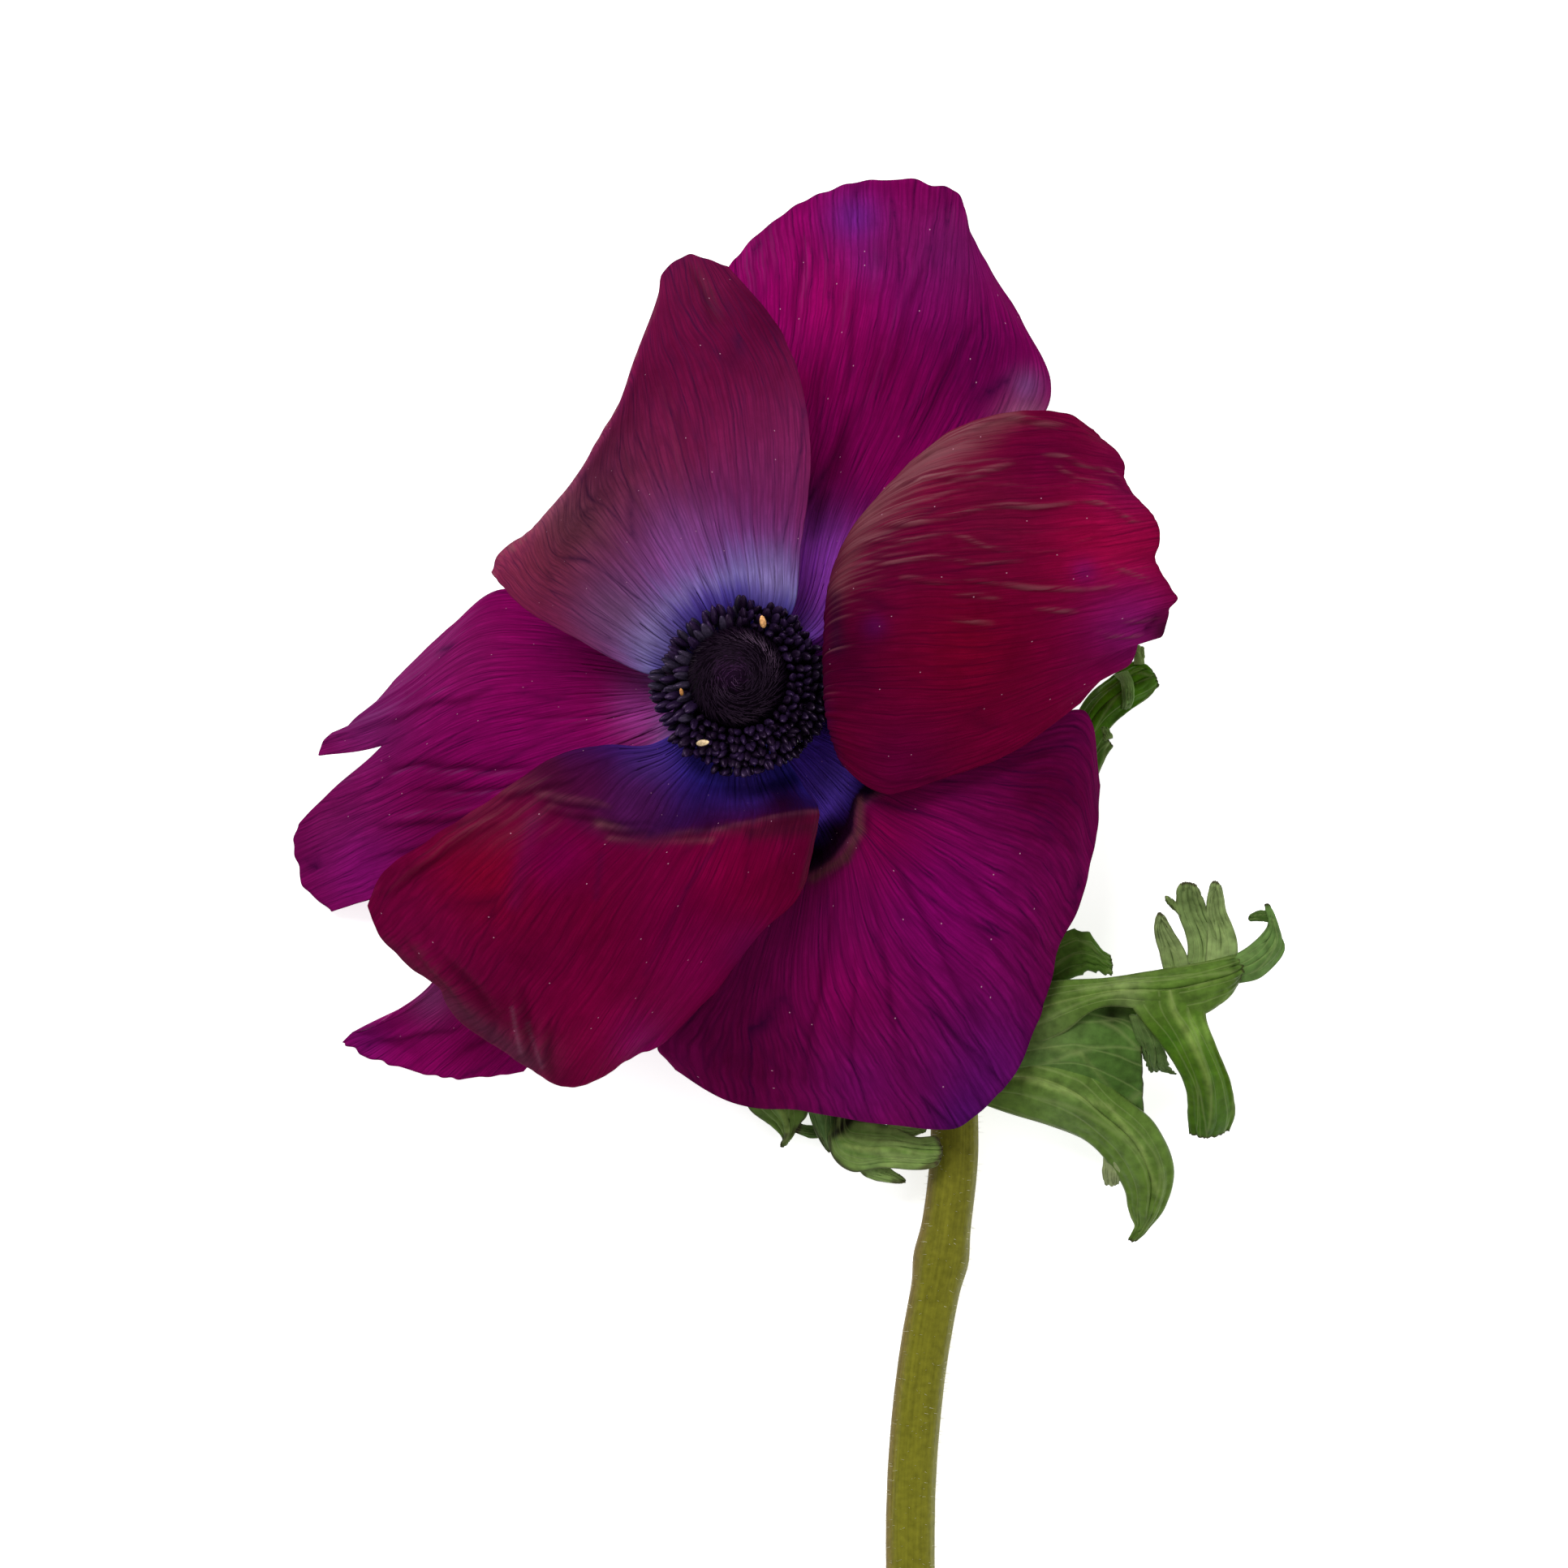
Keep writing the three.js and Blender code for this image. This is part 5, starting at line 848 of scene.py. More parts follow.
# %% Nets of the leaves' lobes
LEAF_NETS = {
    "leaf_right": [
        ("506c28", 0.2, 0, [
            ((22.1, -34.2, 7.2), (22.4, -36, 7.6), (22.4, -38.4, 6.8)),
            ((28.5, -29.6, 10.6), (29.4, -31.8, 11.6), (31.2, -34.6, 10.8)),
            ((36.2, -28.7, 12), (36.4, -30.1, 13.2), (36, -31.6, 12.8)),
            ((42.1, -27.8, 12.6), (43, -29.8, 13.8), (44.2, -32.6, 12.8)),
            ((46.8, -26.9, 12.2), (47.6, -28.8, 13), (47.4, -31.4, 12.2)),
            ((49.2, -26.3, 11.6), (49.8, -27.8, 12), (49.2, -29.4, 11.2))]),
        ("56743a", 0.2, 0, [
            ((47.8, -27, 11.4), (48.6, -28.1, 11.7), (49.1, -29.3, 11.1)),
            ((50.1, -25.7, 11.6), (51.1, -27, 12.1), (51.6, -28.6, 11)),
            ((51.9, -24, 11), (52.8, -25.2, 11.3), (53.7, -26.2, 10.4)),
            ((52.3, -22.8, 11.2), (52.8, -23.3, 11.3), (53.3, -23.9, 10.9)),
            ((51.9, -21.4, 11.6), (52.1, -21.3, 11.6), (52.3, -21.4, 11.5))]),
        ("3a5420", 0.0, 0, [
            ((52.8, -23.3, 11.1), (52.6, -22.7, 11.2), (52.6, -22, 11.3)),
            ((51.4, -23, 11), (51.3, -22.6, 11.2), (51.5, -22.1, 11)),
            ((50.3, -22.9, 10.8), (50.3, -22.8, 10.8), (50.3, -22.7, 10.8))]),
        ("466812", 0.4, 0, [
            ((38, -30.2, 13.3), (42.4, -29.9, 13.9), (46.4, -29.4, 13.25)),
            ((39, -32.1, 12.85), (42.8, -32, 13.35), (46, -32.4, 12.6)),
            ((42.1, -36.1, 11.4), (44.6, -35, 13), (47, -35.4, 11.6)),
            ((44, -39.6, 9.6), (46.2, -38.8, 11.7), (48.4, -38.9, 9.8)),
            ((44.3, -42.6, 7.6), (46.6, -42.4, 9.5), (49, -42, 7.6)),
            ((44.5, -44.4, 6.6), (46.4, -44.8, 7.4), (48.5, -44.1, 6.4))]),
        ("4a6a2e", 0.15, 0, [
            ((26, -33.4, 9.2), (26.6, -36.4, 9.3), (27.4, -39.4, 8.4)),
            ((32, -30.6, 10.4), (32.6, -35, 11), (33.6, -39.2, 9.2)),
            ((36.4, -30, 10.6), (36.8, -35.4, 10.8), (37.6, -41, 8.6)),
            ((39.4, -31.4, 10.6), (39.8, -36.6, 9.8), (40, -42.4, 7.4))]),
        ("55702c", 0.5, 0, [
            ((23.6, -35.8, 7.2), (23.6, -39, 7), (23.4, -41.2, 5.8)),
            ((29.4, -34.6, 8.4), (28.4, -38.6, 9.4), (26.6, -42.3, 6.6)),
            ((34, -36.2, 8.6), (32.6, -40, 10), (30.6, -43.5, 7)),
            ((37.1, -39.9, 9), (35.6, -42.3, 9.9), (34, -44.9, 6.8)),
            ((41, -43.2, 8.4), (38.8, -45.2, 8.9), (36.3, -47, 6.4)),
            ((43, -47.6, 6.2), (40.6, -48.8, 7.2), (38, -49.6, 5)),
            ((42.2, -51.4, 4.2), (40.5, -52, 4.8), (38.6, -52.1, 3.6)),
            ((40.5, -53.6, 2.8), (39.9, -53.8, 3.1), (39.3, -53.7, 2.6)),
            ((39.3, -55.1, 2), (38.9, -55.3, 2.1), (38.5, -55.1, 1.9))]),
        ("7d8e5a", 0.2, 0, [
            ((42, -28.8, 12), (43.2, -28.8, 12.2), (44.8, -28.6, 12.2)),
            ((41.5, -26.4, 9.6), (42.6, -26.2, 9.2), (44.1, -26.2, 9.6)),
            ((41, -24, 9.8), (41.7, -23.9, 9.5), (42.8, -24, 9.9)),
            ((41.3, -22.4, 10.6), (41.5, -22.2, 10.5), (41.7, -22.5, 10.5))]),
        ("758a52", 0.2, 0, [
            ((43.6, -29, 12.2), (45.4, -29, 12.4), (47.2, -28.6, 12)),
            ((44.3, -25.6, 9.2), (45.8, -25.6, 8.8), (47.4, -25.4, 9)),
            ((43.3, -22.2, 9.6), (44.6, -22.1, 9.2), (46.3, -22.3, 9.4)),
            ((43.1, -20.4, 10.8), (44.2, -20.3, 10.5), (45.8, -20.9, 10.6)),
            ((43.6, -19.3, 11.6), (44.2, -19.2, 11.6), (45, -19.4, 11.5))]),
        ("6c8048", 0.0, 0, [
            ((43.5, -22.6, 9.8), (43.4, -22, 9.8), (43.4, -21.3, 10)),
            ((42.1, -20.9, 10.2), (42.05, -20.8, 10.2), (42, -20.6, 10.2))]),
        ("84985e", 0.2, 0, [
            ((45.8, -28.8, 12), (47.4, -28.4, 11.8), (49.2, -27.6, 11.2)),
            ((46.2, -25, 9), (47.6, -24.8, 8.7), (49.2, -25, 9.2)),
            ((46.1, -22, 9.6), (47, -21.9, 9.4), (48.1, -22, 9.8)),
            ((46.3, -20.2, 10.8), (46.9, -20.1, 10.6), (47.7, -20.3, 10.8)),
            ((46.7, -19.2, 11.4), (46.95, -19.1, 11.4), (47.3, -19.3, 11.4))]),
        ("566e3c", 0.1, 0.25, [
            ((38.4, -32.4, 11.4), (39.6, -32.6, 12), (40.8, -33.6, 11.8)),
            ((39.2, -35, 10), (40.6, -35, 10.8), (42, -36, 10.2)),
            ((40, -37, 8.4), (41, -37.2, 9), (42.6, -37.6, 8.6)),
            ((40.6, -38.2, 7.4), (41.4, -38, 7.8), (43.3, -38.4, 7.6))]),
        ("4a6a26", 0.15, 0.2, [
            ((22.4, -34, 6.6), (22.6, -35.2, 6.8), (22.8, -36.4, 6.6)),
            ((26.2, -29.4, 6.8), (26.8, -31.4, 7.2), (27.4, -33.4, 6.8)),
            ((29.5, -25.8, 7), (29.8, -28, 7.4), (30.2, -30.4, 7)),
            ((32.3, -24, 7.2), (32.8, -26.2, 7.8), (33.2, -28.8, 7.4)),
            ((34.3, -24, 7.2), (34.6, -26.2, 7.8), (35, -28.4, 7.4)),
            ((35.3, -25.5, 7), (35.8, -27, 7.4), (36.2, -28.6, 7)),
            ((36.7, -26.6, 6.8), (36.9, -27.5, 7), (36.8, -28.6, 6.8))]),
        ("8a9468", 0.0, 0, [
            ((36, -45.6, 6.5), (37, -46.2, 7.2), (38, -47.4, 7)),
            ((36, -48.2, 5.4), (36.8, -48.2, 5.8), (37.8, -48.6, 5.6)),
            ((36.4, -49.4, 4.2), (36.9, -49.6, 4.4), (37.4, -49.3, 4.4))]),
    ],
    "leaf_left": [
        ("4a6030", 0.1, 0, [
            ((17, -34.6, 4.8), (16.9, -37, 5.6), (16.6, -39.4, 4.8)),
            ((13.2, -34, 4.4), (12.8, -37, 5.2), (12.4, -40, 4.4)),
            ((6.6, -33.6, 3.6), (6, -36.8, 4.6), (5.6, -40, 3.8)),
            ((2.4, -35.4, 3), (1.8, -37.6, 3.6), (1.4, -39.8, 3))]),
        ("56702f", 0.3, 0, [
            ((0.2, -39.6, 3.2), (3, -39.4, 4.2), (6.4, -39.6, 3.6)),
            ((0.6, -41.9, 2.4), (3.5, -41.4, 3.8), (6.5, -42.2, 3)),
            ((2.9, -43.7, 1.9), (4.3, -43, 3.2), (5.6, -43.6, 2.4)),
            ((4.1, -45, 1.7), (4.4, -44.8, 2.1), (4.7, -44.8, 2)),
            ((3.75, -45.75, 1.6), (3.85, -45.8, 1.6), (3.95, -45.75, 1.6))]),
        ("4c6a34", 0.0, 0, [
            ((4.6, -43.1, 2.5), (4.8, -43.6, 2.6), (5.2, -44.3, 2.2)),
            ((6.4, -43.6, 1.8), (6.5, -44.2, 2), (6.6, -44.8, 1.7)),
            ((7.8, -43.5, 1.4), (7.8, -44.2, 1.6), (7.6, -44.8, 1.4))]),
        ("4a6634", 0.15, 0, [
            ((6.2, -40, 5.2), (7.6, -40, 5.6), (9.4, -40, 5.4)),
            ((6.6, -42.4, 3.8), (7.9, -42.4, 4.7), (9.5, -42.4, 4.5)),
            ((7.4, -44.5, 3.2), (8.3, -44.3, 4), (9.1, -44.4, 3.8)),
            ((8.6, -46.3, 2.8), (8.8, -46.2, 3), (9, -45.9, 3))]),
        ("66803f", 0.2, 0, [
            ((8.8, -37.4, 6.2), (10.6, -37.6, 6.4), (12.4, -37.8, 6.2)),
            ((8.5, -42.6, 4.2), (9.7, -42, 4.6), (11, -41.2, 4.4)),
            ((8.8, -46.3, 4.2), (9.9, -45, 5.2), (11.3, -42.9, 5)),
            ((10.8, -48.1, 4.9), (11.9, -45.9, 6.1), (12.9, -43.1, 5.5)),
            ((14, -47.7, 5.8), (14.6, -45.8, 6.9), (15, -43.7, 6)),
            ((17.2, -47.9, 6.6), (17.4, -46.2, 7.4), (17.2, -44.7, 6.6)),
            ((18.9, -47.6, 7), (19.3, -46.2, 7.5), (18.9, -44.6, 7)),
            ((19.7, -47, 7.2), (19.9, -45.9, 7.3), (19.6, -44.9, 7.2))]),
        ("6c8646", 0.15, 0, [
            ((11, -47.2, 5.2), (12, -46.6, 5.7), (13, -45.8, 5.9)),
            ((12.3, -48.7, 4.6), (13, -48, 5), (13.6, -47.2, 5.1)),
            ((14.6, -49.2, 4.4), (14.9, -48.7, 4.7), (15, -48.1, 4.8)),
            ((16.1, -49.2, 3.8), (16.2, -49.15, 3.8), (16.2, -49.05, 3.8))]),
        ("66803f", 0.1, 0, [
            ((14.2, -42.8, 5.6), (14.4, -43.5, 6), (14.6, -44.2, 6.1)),
            ((16.2, -43, 5.5), (16.3, -43.8, 5.9), (16.4, -44.7, 6.1)),
            ((18.3, -43.9, 5.2), (18.3, -44, 5.2), (18.2, -44.1, 5.2))]),
    ],
    "leaf_back": [
        ("44681c", 0.4, 0, [
            ((22.2, -32.8, 3.8), (23.4, -34.2, 4.4), (24.1, -35.2, 4)),
            ((23.4, -23.6, 4.6), (26, -24.6, 5.6), (28.6, -25.2, 4.8)),
            ((27.4, -13, 5.6), (30.2, -13.8, 6.8), (33.2, -14.2, 5.8)),
            ((31.4, -4.8, 8.6), (33.6, -6, 9.8), (35.9, -7.4, 8.8)),
            ((34.8, -2.8, 9.2), (35.9, -4.2, 9.8), (36.9, -5.6, 9.2))]),
        ("3f6c0a", 0.45, 0, [
            ((31.2, -6.6, 10.2), (32.6, -7.2, 10.4), (34.2, -8, 10)),
            ((34, -1.2, 9.8), (35, -2.6, 10.8), (36.3, -4.2, 9.8)),
            ((36.6, 1.2, 10.8), (37.4, -0.4, 11.8), (38.3, -2.2, 10.6)),
            ((38.9, 2.8, 11.4), (39.7, 1, 12.3), (40.2, -0.9, 11)),
            ((40.5, 2.1, 11.8), (41.1, 1.3, 12), (41.4, 0.4, 11.6))]),
        ("628042", 0.0, 0, [
            ((37, 1.3, 11.3), (37.7, 1.6, 11.8), (38.4, 1.7, 11.9)),
            ((37.7, 0.4, 12.4), (38.2, 0.4, 12.8), (38.8, 0.6, 12.5)),
            ((37.9, -1, 12.2), (38.3, -1, 12.5), (38.8, -0.8, 12.2)),
            ((37.8, -1.9, 10.7), (38.1, -2, 10.9), (38.4, -1.9, 10.7))]),
        ("70884a", 0.0, 0, [
            ((38.9, 2.4, 11.8), (39.4, 2.4, 12), (39.9, 2.4, 11.8)),
            ((39, 4.4, 11.4), (39.3, 4.4, 11.6), (39.7, 4.2, 11.4))]),
        ("6c8848", 0.0, 0, [
            ((34.2, -1.9, 10.2), (34.5, -1.9, 10.4), (34.9, -2, 10.2)),
            ((35.2, -3.6, 10), (35.6, -3.6, 10.3), (36.1, -3.8, 10)),
            ((36.2, -5.2, 9.6), (36.4, -5, 9.8), (36.8, -4.9, 9.6))]),
    ],
}
print("lobes:", {name: len(lobes) for name, lobes in LEAF_NETS.items()})

# %% [markdown]
# A leaf is a waxy film over green cells. Its veins are paler than the blade and run along
# each lobe, a strong one in the middle. The tips dry to brown. The surface is a little
# glossy, and finely pitted.

# %% Leaf tissue
LEAF_SPAN = (8, 26, 0)          # mm across and along a lobe
LEAF_CELLS = (0.62, 0.03, 0)    # veins 1.6 mm apart that run along the lobe and seldom meet


def leaf_material(name, roughness):
    """Anemone leaf, waxy, with the greens of the mesh's washes."""
    material, tree, shader = new_material(name, roughness, 0.2, gloss_tint="ccd890")
    wash = add(tree, "ShaderNodeAttribute", attribute_name="wash")
    flat = add(tree, "ShaderNodeUVMap", uv_map="across_along")
    sized = add(tree, "ShaderNodeVectorMath", {0: flat.outputs["UV"], 1: LEAF_SPAN},
                operation="MULTIPLY")
    place = add(tree, "ShaderNodeTexCoord").outputs["Object"]
    wander = add(tree, "ShaderNodeTexNoise", {"Vector": place, "Scale": 180.0, "Detail": 2.0})
    shift = add(tree, "ShaderNodeVectorMath", {0: wander.outputs["Color"], 1: (0.6, 0.6, 0)},
                operation="MULTIPLY")
    bent = add(tree, "ShaderNodeVectorMath", {0: sized.outputs[0], 1: shift.outputs[0]})
    cells = add(tree, "ShaderNodeVectorMath", {0: bent.outputs[0], 1: LEAF_CELLS},
                operation="MULTIPLY")
    net = add(tree, "ShaderNodeTexVoronoi", {"Vector": cells.outputs[0], "Scale": 1.0},
              voronoi_dimensions="2D", feature="DISTANCE_TO_EDGE")
    line = add(tree, "ShaderNodeValToRGB", {"Fac": net.outputs["Distance"]},
               stops=[(0.0, 0.3), (0.07, 0.0)])
    # mottles and pits are about 1 mm wide
    mottle = add(tree, "ShaderNodeTexNoise", {"Vector": place, "Scale": 900.0, "Detail": 4.0})
    tone = add(tree, "ShaderNodeMapRange", {"Value": mottle.outputs["Fac"], "From Min": 0.3,
                                            "From Max": 0.7, "To Min": 0.72, "To Max": 1.3})
    toned = add(tree, "ShaderNodeVectorMath", {0: wash.outputs["Color"], "Scale": tone.outputs[0]},
                operation="SCALE")
    veined = add(tree, "ShaderNodeMix", {"Factor": line.outputs["Color"], 6: toned.outputs[0],
                                         7: (*linear("8c9c60"), 1)}, data_type="RGBA")
    tree.links.new(veined.outputs[2], shader.inputs["Base Color"])
    relief = add(tree, "ShaderNodeMath", {0: mottle.outputs["Fac"], 1: line.outputs["Color"]},
                 operation="SUBTRACT")
    bump = add(tree, "ShaderNodeBump", {"Height": relief.outputs[0], "Distance": 0.22 * MM,
                                        "Strength": 0.6})
    tree.links.new(bump.outputs["Normal"], shader.inputs["Normal"])
    return material


leaf_face = leaf_material("leaf tissue waxy face", 0.42)
leaf_under = leaf_material("leaf tissue dull underside", 0.6)
print("leaf materials:", leaf_face.name, leaf_under.name)

# %% [markdown]
# The leaves are not one green. Some washes and strokes paint light and shade: pale where
# the lobes' backs are lit, dark in folds and hollows. Their edges curl and dry to brown.
# A painted image could carry this, but it would need a layout for every lobe. These are
# washes and strokes as on the petals: place, radius, colour and strength, and line,
# width, colour and strength.

# %% Greens and browns of the leaves
LEAF_WASHES = [
    # the pale wash at (38.6, -30.6) is a painted highlight on the arch
    (30, -34, 4, "5e7040", 0.6), (38.6, -30.6, 2, "7d8c58", 0.6), (42.6, -34.6, 1.3, "2f6008", 0.7),
    (44.6, -41, 1, "5c7c24", 0.5), (44, -38, 1.6, "3a5c0c", 0.7), (42.4, -30.4, 3.4, "506c28", 0.95),
    # the near-black wash at (36.7, -32.4) is painted shade in the hollow beside the arch
    (45.4, -34, 1.6, "80a048", 0.7), (46, -41, 1.3, "34520c", 0.6), (36.7, -32.4, 1.2, "070e02", 1.0),
    (46.6, -43.4, 2, "2c5208", 0.6), (38, -38, 3, "34501c", 0.6), (39.6, -45.6, 2.4, "64803c", 0.6),
    # the near-black wash at (29.6, -29.2) is painted shade under the blade's upper edge
    (32, -42, 3, "5c7440", 0.5), (41, -50, 2.4, "587228", 0.6), (29.6, -29.2, 1.8, "182808", 0.9),
    # the near-black washes at (9.9, -43.5) and (9.4, -42.6) are a painted shadow in the fold between two
    # lobes
    (5.3, -44, 0.5, "2a1c1a", 0.8), (9.9, -43.5, 1.0, "0a0607", 1.0), (9.4, -42.6, 0.9, "0a0607", 0.9),
    (1.6, -43, 1.4, "34481c", 0.7), (15, -46.4, 3.4, "7c9052", 0.7), (13, -47.6, 1, "5c7440", 0.6),
    (50.6, -25.4, 2, "5e7c42", 0.6), (36.4, -5.2, 0.7, "7c9455", 0.7), (36.9, -2.6, 1.6, "2c4a12", 0.6),
    (35.2, -6, 1.6, "2c4a14", 0.6), (40.6, 0.4, 1.2, "3c5a1c", 0.6), (36.2, -0.4, 1.2, "466f06", 0.7)]
LEAF_STROKES = [
    # the first, near-black stroke is a painted shadow in that fold
    (9.2, -44.5, 10.9, -43, 0.42, "120b0e", 0.95), (8.8, -44.8, 8.9, -46.4, 0.22, "2a1f1c", 0.8),
    (8.9, -46.4, 10.3, -47.8, 0.22, "2a1f1c", 0.8), (10.3, -47.8, 12.2, -48.4, 0.22, "2a1f1c", 0.7),
    (9.4, -45.1, 16.2, -46, 0.2, "456a22", 0.6), (16.2, -46, 18.8, -46.2, 0.2, "456a22", 0.5),
    (10.4, -44.1, 16, -44.8, 0.18, "456a22", 0.5), (10.4, -46, 14.6, -46.9, 0.2, "4e742a", 0.5),
    (19.3, -44.7, 19.9, -45.9, 0.25, "3a2622", 0.85), (19.9, -45.9, 19.3, -47.2, 0.25, "3a2622", 0.85),
    (19.3, -47.2, 17.4, -47.9, 0.22, "3a2622", 0.7), (15, -49.1, 16.2, -49.2, 0.25, "3a2622", 0.7),
    (3.8, -45.8, 4.4, -44.4, 0.22, "2a1c1a", 0.7), (5.1, -44.6, 5.9, -43.1, 0.25, "2a1c1a", 0.8),
    (7.1, -42.4, 8.2, -44.7, 0.22, "33501c", 0.6), (7, -43.4, 8.6, -46.2, 0.2, "33281c", 0.6),
    (45, -32.2, 46.6, -38.6, 0.3, "35580f", 0.6), (46.6, -38.6, 46.6, -44.2, 0.25, "35580f", 0.6),
    (26.1, -38.1, 31.9, -40, 0.24, "90a25c", 0.45), (31.9, -40, 36.4, -41.6, 0.24, "90a25c", 0.4),
    (28.6, -35.3, 33.5, -36.1, 0.24, "8a9c58", 0.25), (33.5, -36.1, 36.4, -39.4, 0.24, "8a9c58", 0.25),
    (36.4, -41.6, 39.7, -45.6, 0.24, "90a25c", 0.4), (39.7, -45.6, 41.3, -50, 0.24, "90a25c", 0.4),
    # the first stroke is painted shade in the notch where the hook joins the blade
    (48.6, -27, 49.2, -29.1, 0.35, "2c4014", 0.5), (33.5, -29.9, 40.5, -29.1, 0.22, "8ca060", 0.35)]
print("washes and strokes on the leaves:", len(LEAF_WASHES), len(LEAF_STROKES))

# %% [markdown]
# Each lobe is a narrow sheet with a groove over its midrib, some with teeth towards the
# tip. A flat card with a cut-out picture would be lighter, but it has no thickness and no
# hook. The lobes of one leaf grew together, so their sheets go into one mesh.

# %% Make the leaves
LEAF_THICK = 0.45                                                      # mm
LEAF_RIM = {"leaf_right": 0.3, "leaf_left": 1.0, "leaf_back": 0.35}    # how brown the rims are
LONG_LOBE, SHORT_LOBE = (30, 72), (22, 36)                             # steps across and along
RIB_COLOUR, DRY_COLOUR = "93a45c", "33251f"


def join_into(whole, bm):
    """One bmesh added to another."""
    mesh = bpy.data.meshes.new("part")
    bm.to_mesh(mesh)
    bm.free()
    whole.from_mesh(mesh)
    bpy.data.meshes.remove(mesh)


def toothed(seed, deep):
    """Narrower between teeth, towards the tip of a lobe."""
    def narrow(u, v):
        tooth = np.abs(((v * 7 + seed * 0.37) % 1) - 0.3) / 0.7
        return 1 - deep * (1 - tooth) * fade(v, 0.35, 0.7) * (1 - fade(v, 0.93, 1.0))
    return narrow


for name, lobes in LEAF_NETS.items():
    whole = bmesh.new()
    for k, (green, groove, teeth, net) in enumerate(lobes):
        def leaf_paint(places, u, v, facing, crest, green=green, rim=LEAF_RIM[name]):
            """Greens by place, with painted light and shade among them, a paler midrib, and brown at the
            rim and the very tip.
            """
            colours = painted(green, None, LEAF_WASHES, places, u, v, 5)
            rib = 0.4 * np.exp(-((u - 0.5) / 0.03) ** 2) * (1 - fade(v, 0.7, 1)) * (groove > 0.15)
            colours = tinted(colours, rib, RIB_COLOUR)
            dry = np.maximum(fade(v, 0.965, 1.0) * 0.9, rim * fade(np.abs(u - 0.5), 0.44, 0.49))
            colours = tinted(colours, dry, DRY_COLOUR)
            return stroked(colours, LEAF_STROKES, places, v), np.ones(len(u))

        bm = sheet_mesh(net, LONG_LOBE if len(net) > 4 else SHORT_LOBE, 90 + k, leaf_paint,
                        ragged=0.008, flutter=0.12, silk=(0.14, 4, 0, 1), groove=groove,
                        narrow=toothed(k, teeth) if teeth else None)
        join_into(whole, bm)
    leaf = finished("fine_" + name, whole, leaf_face, leaf_under)
    give_thickness(leaf, LEAF_THICK)
    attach(leaf, "root")
    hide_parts(name)
    print(leaf.name, len(leaf.data.vertices), "points")

# %% [markdown]
# The stem is a round, slightly ribbed tube that bends up behind the bloom and swells
# where the leaves join. Its middle follows a smooth line through a few places, and its
# radius changes along it.

# %% The stem's line
STEM_RADIUS = 2.45     # mm
STEM_NARROWING = 0.35  # towards the bloom, mm
RUFF_AT = 0.62         # where the leaves join, as a share of the stem's length
RUFF_SWELLING = 0.35   # mm
STEM_LINE = np.array([
    (18.4, -165, 2.45), (17.8, -140, 2.45), (17.2, -115, 2.45), (16.8, -95, 2.45), (16.7, -80, 2.45),
    (17.9, -67, 2.45), (19.6, -58, 2.6), (20.9, -49, 3), (21.1, -43, 3.4), (20.4, -36, 4.3),
    (17.4, -28, 6), (13, -19.5, 8.4), (8, -11, 11), (3.6, -4.6, 13.8), (0.9, -1.2, 16.6), (0, 0, 19.6)])
LINE_DOTS = 1200
SMOOTHED = 81          # dots that are averaged to one


def line_points(share):
    """Places at these shares of the stem's true length."""
    dots = along(np.repeat(STEM_LINE[:, None, :], LINE_DOTS, axis=1), np.linspace(0, 1, LINE_DOTS))
    half = SMOOTHED // 2
    mean = np.ones(SMOOTHED) / SMOOTHED
    dots[half:-half] = np.stack([np.convolve(dots[:, i], mean, "valid") for i in range(3)], axis=1)
    gone = np.concatenate([[0], np.cumsum(np.linalg.norm(np.diff(dots, axis=0), axis=1))])
    return np.stack([np.interp(share * gone[-1], gone, dots[:, i]) for i in range(3)], axis=1)


def stem_frame(share):
    """Middle, sideways and upward directions, and radius, at these shares."""
    middle = line_points(share)
    ahead = line_points(np.minimum(share + 0.002, 1)) - line_points(np.maximum(share - 0.002, 0))
    ahead /= np.linalg.norm(ahead, axis=1)[:, None]
    aside = np.stack([ahead[:, 1], -ahead[:, 0], np.zeros(len(share))], axis=1)
    aside /= np.linalg.norm(aside, axis=1)[:, None]
    upward = np.cross(aside, ahead)
    radius = STEM_RADIUS - STEM_NARROWING * fade(share, RUFF_AT, 0.92)
    radius = radius + RUFF_SWELLING * np.exp(-((share - RUFF_AT) / 0.012) ** 2)
    return middle, aside, upward, radius


print("the stem leaves the ruff at", line_points(np.array([RUFF_AT]))[0].round(1))

# %% [markdown]
# Stem tissue is juicy and smooth under a down of short hairs. It is olive green, with
# fine lengthwise fibres about 0.3 mm apart.

# %% Stem tissue
STEM_FIBRES = (46, 16, 0)  # round the stem, and along its whole length


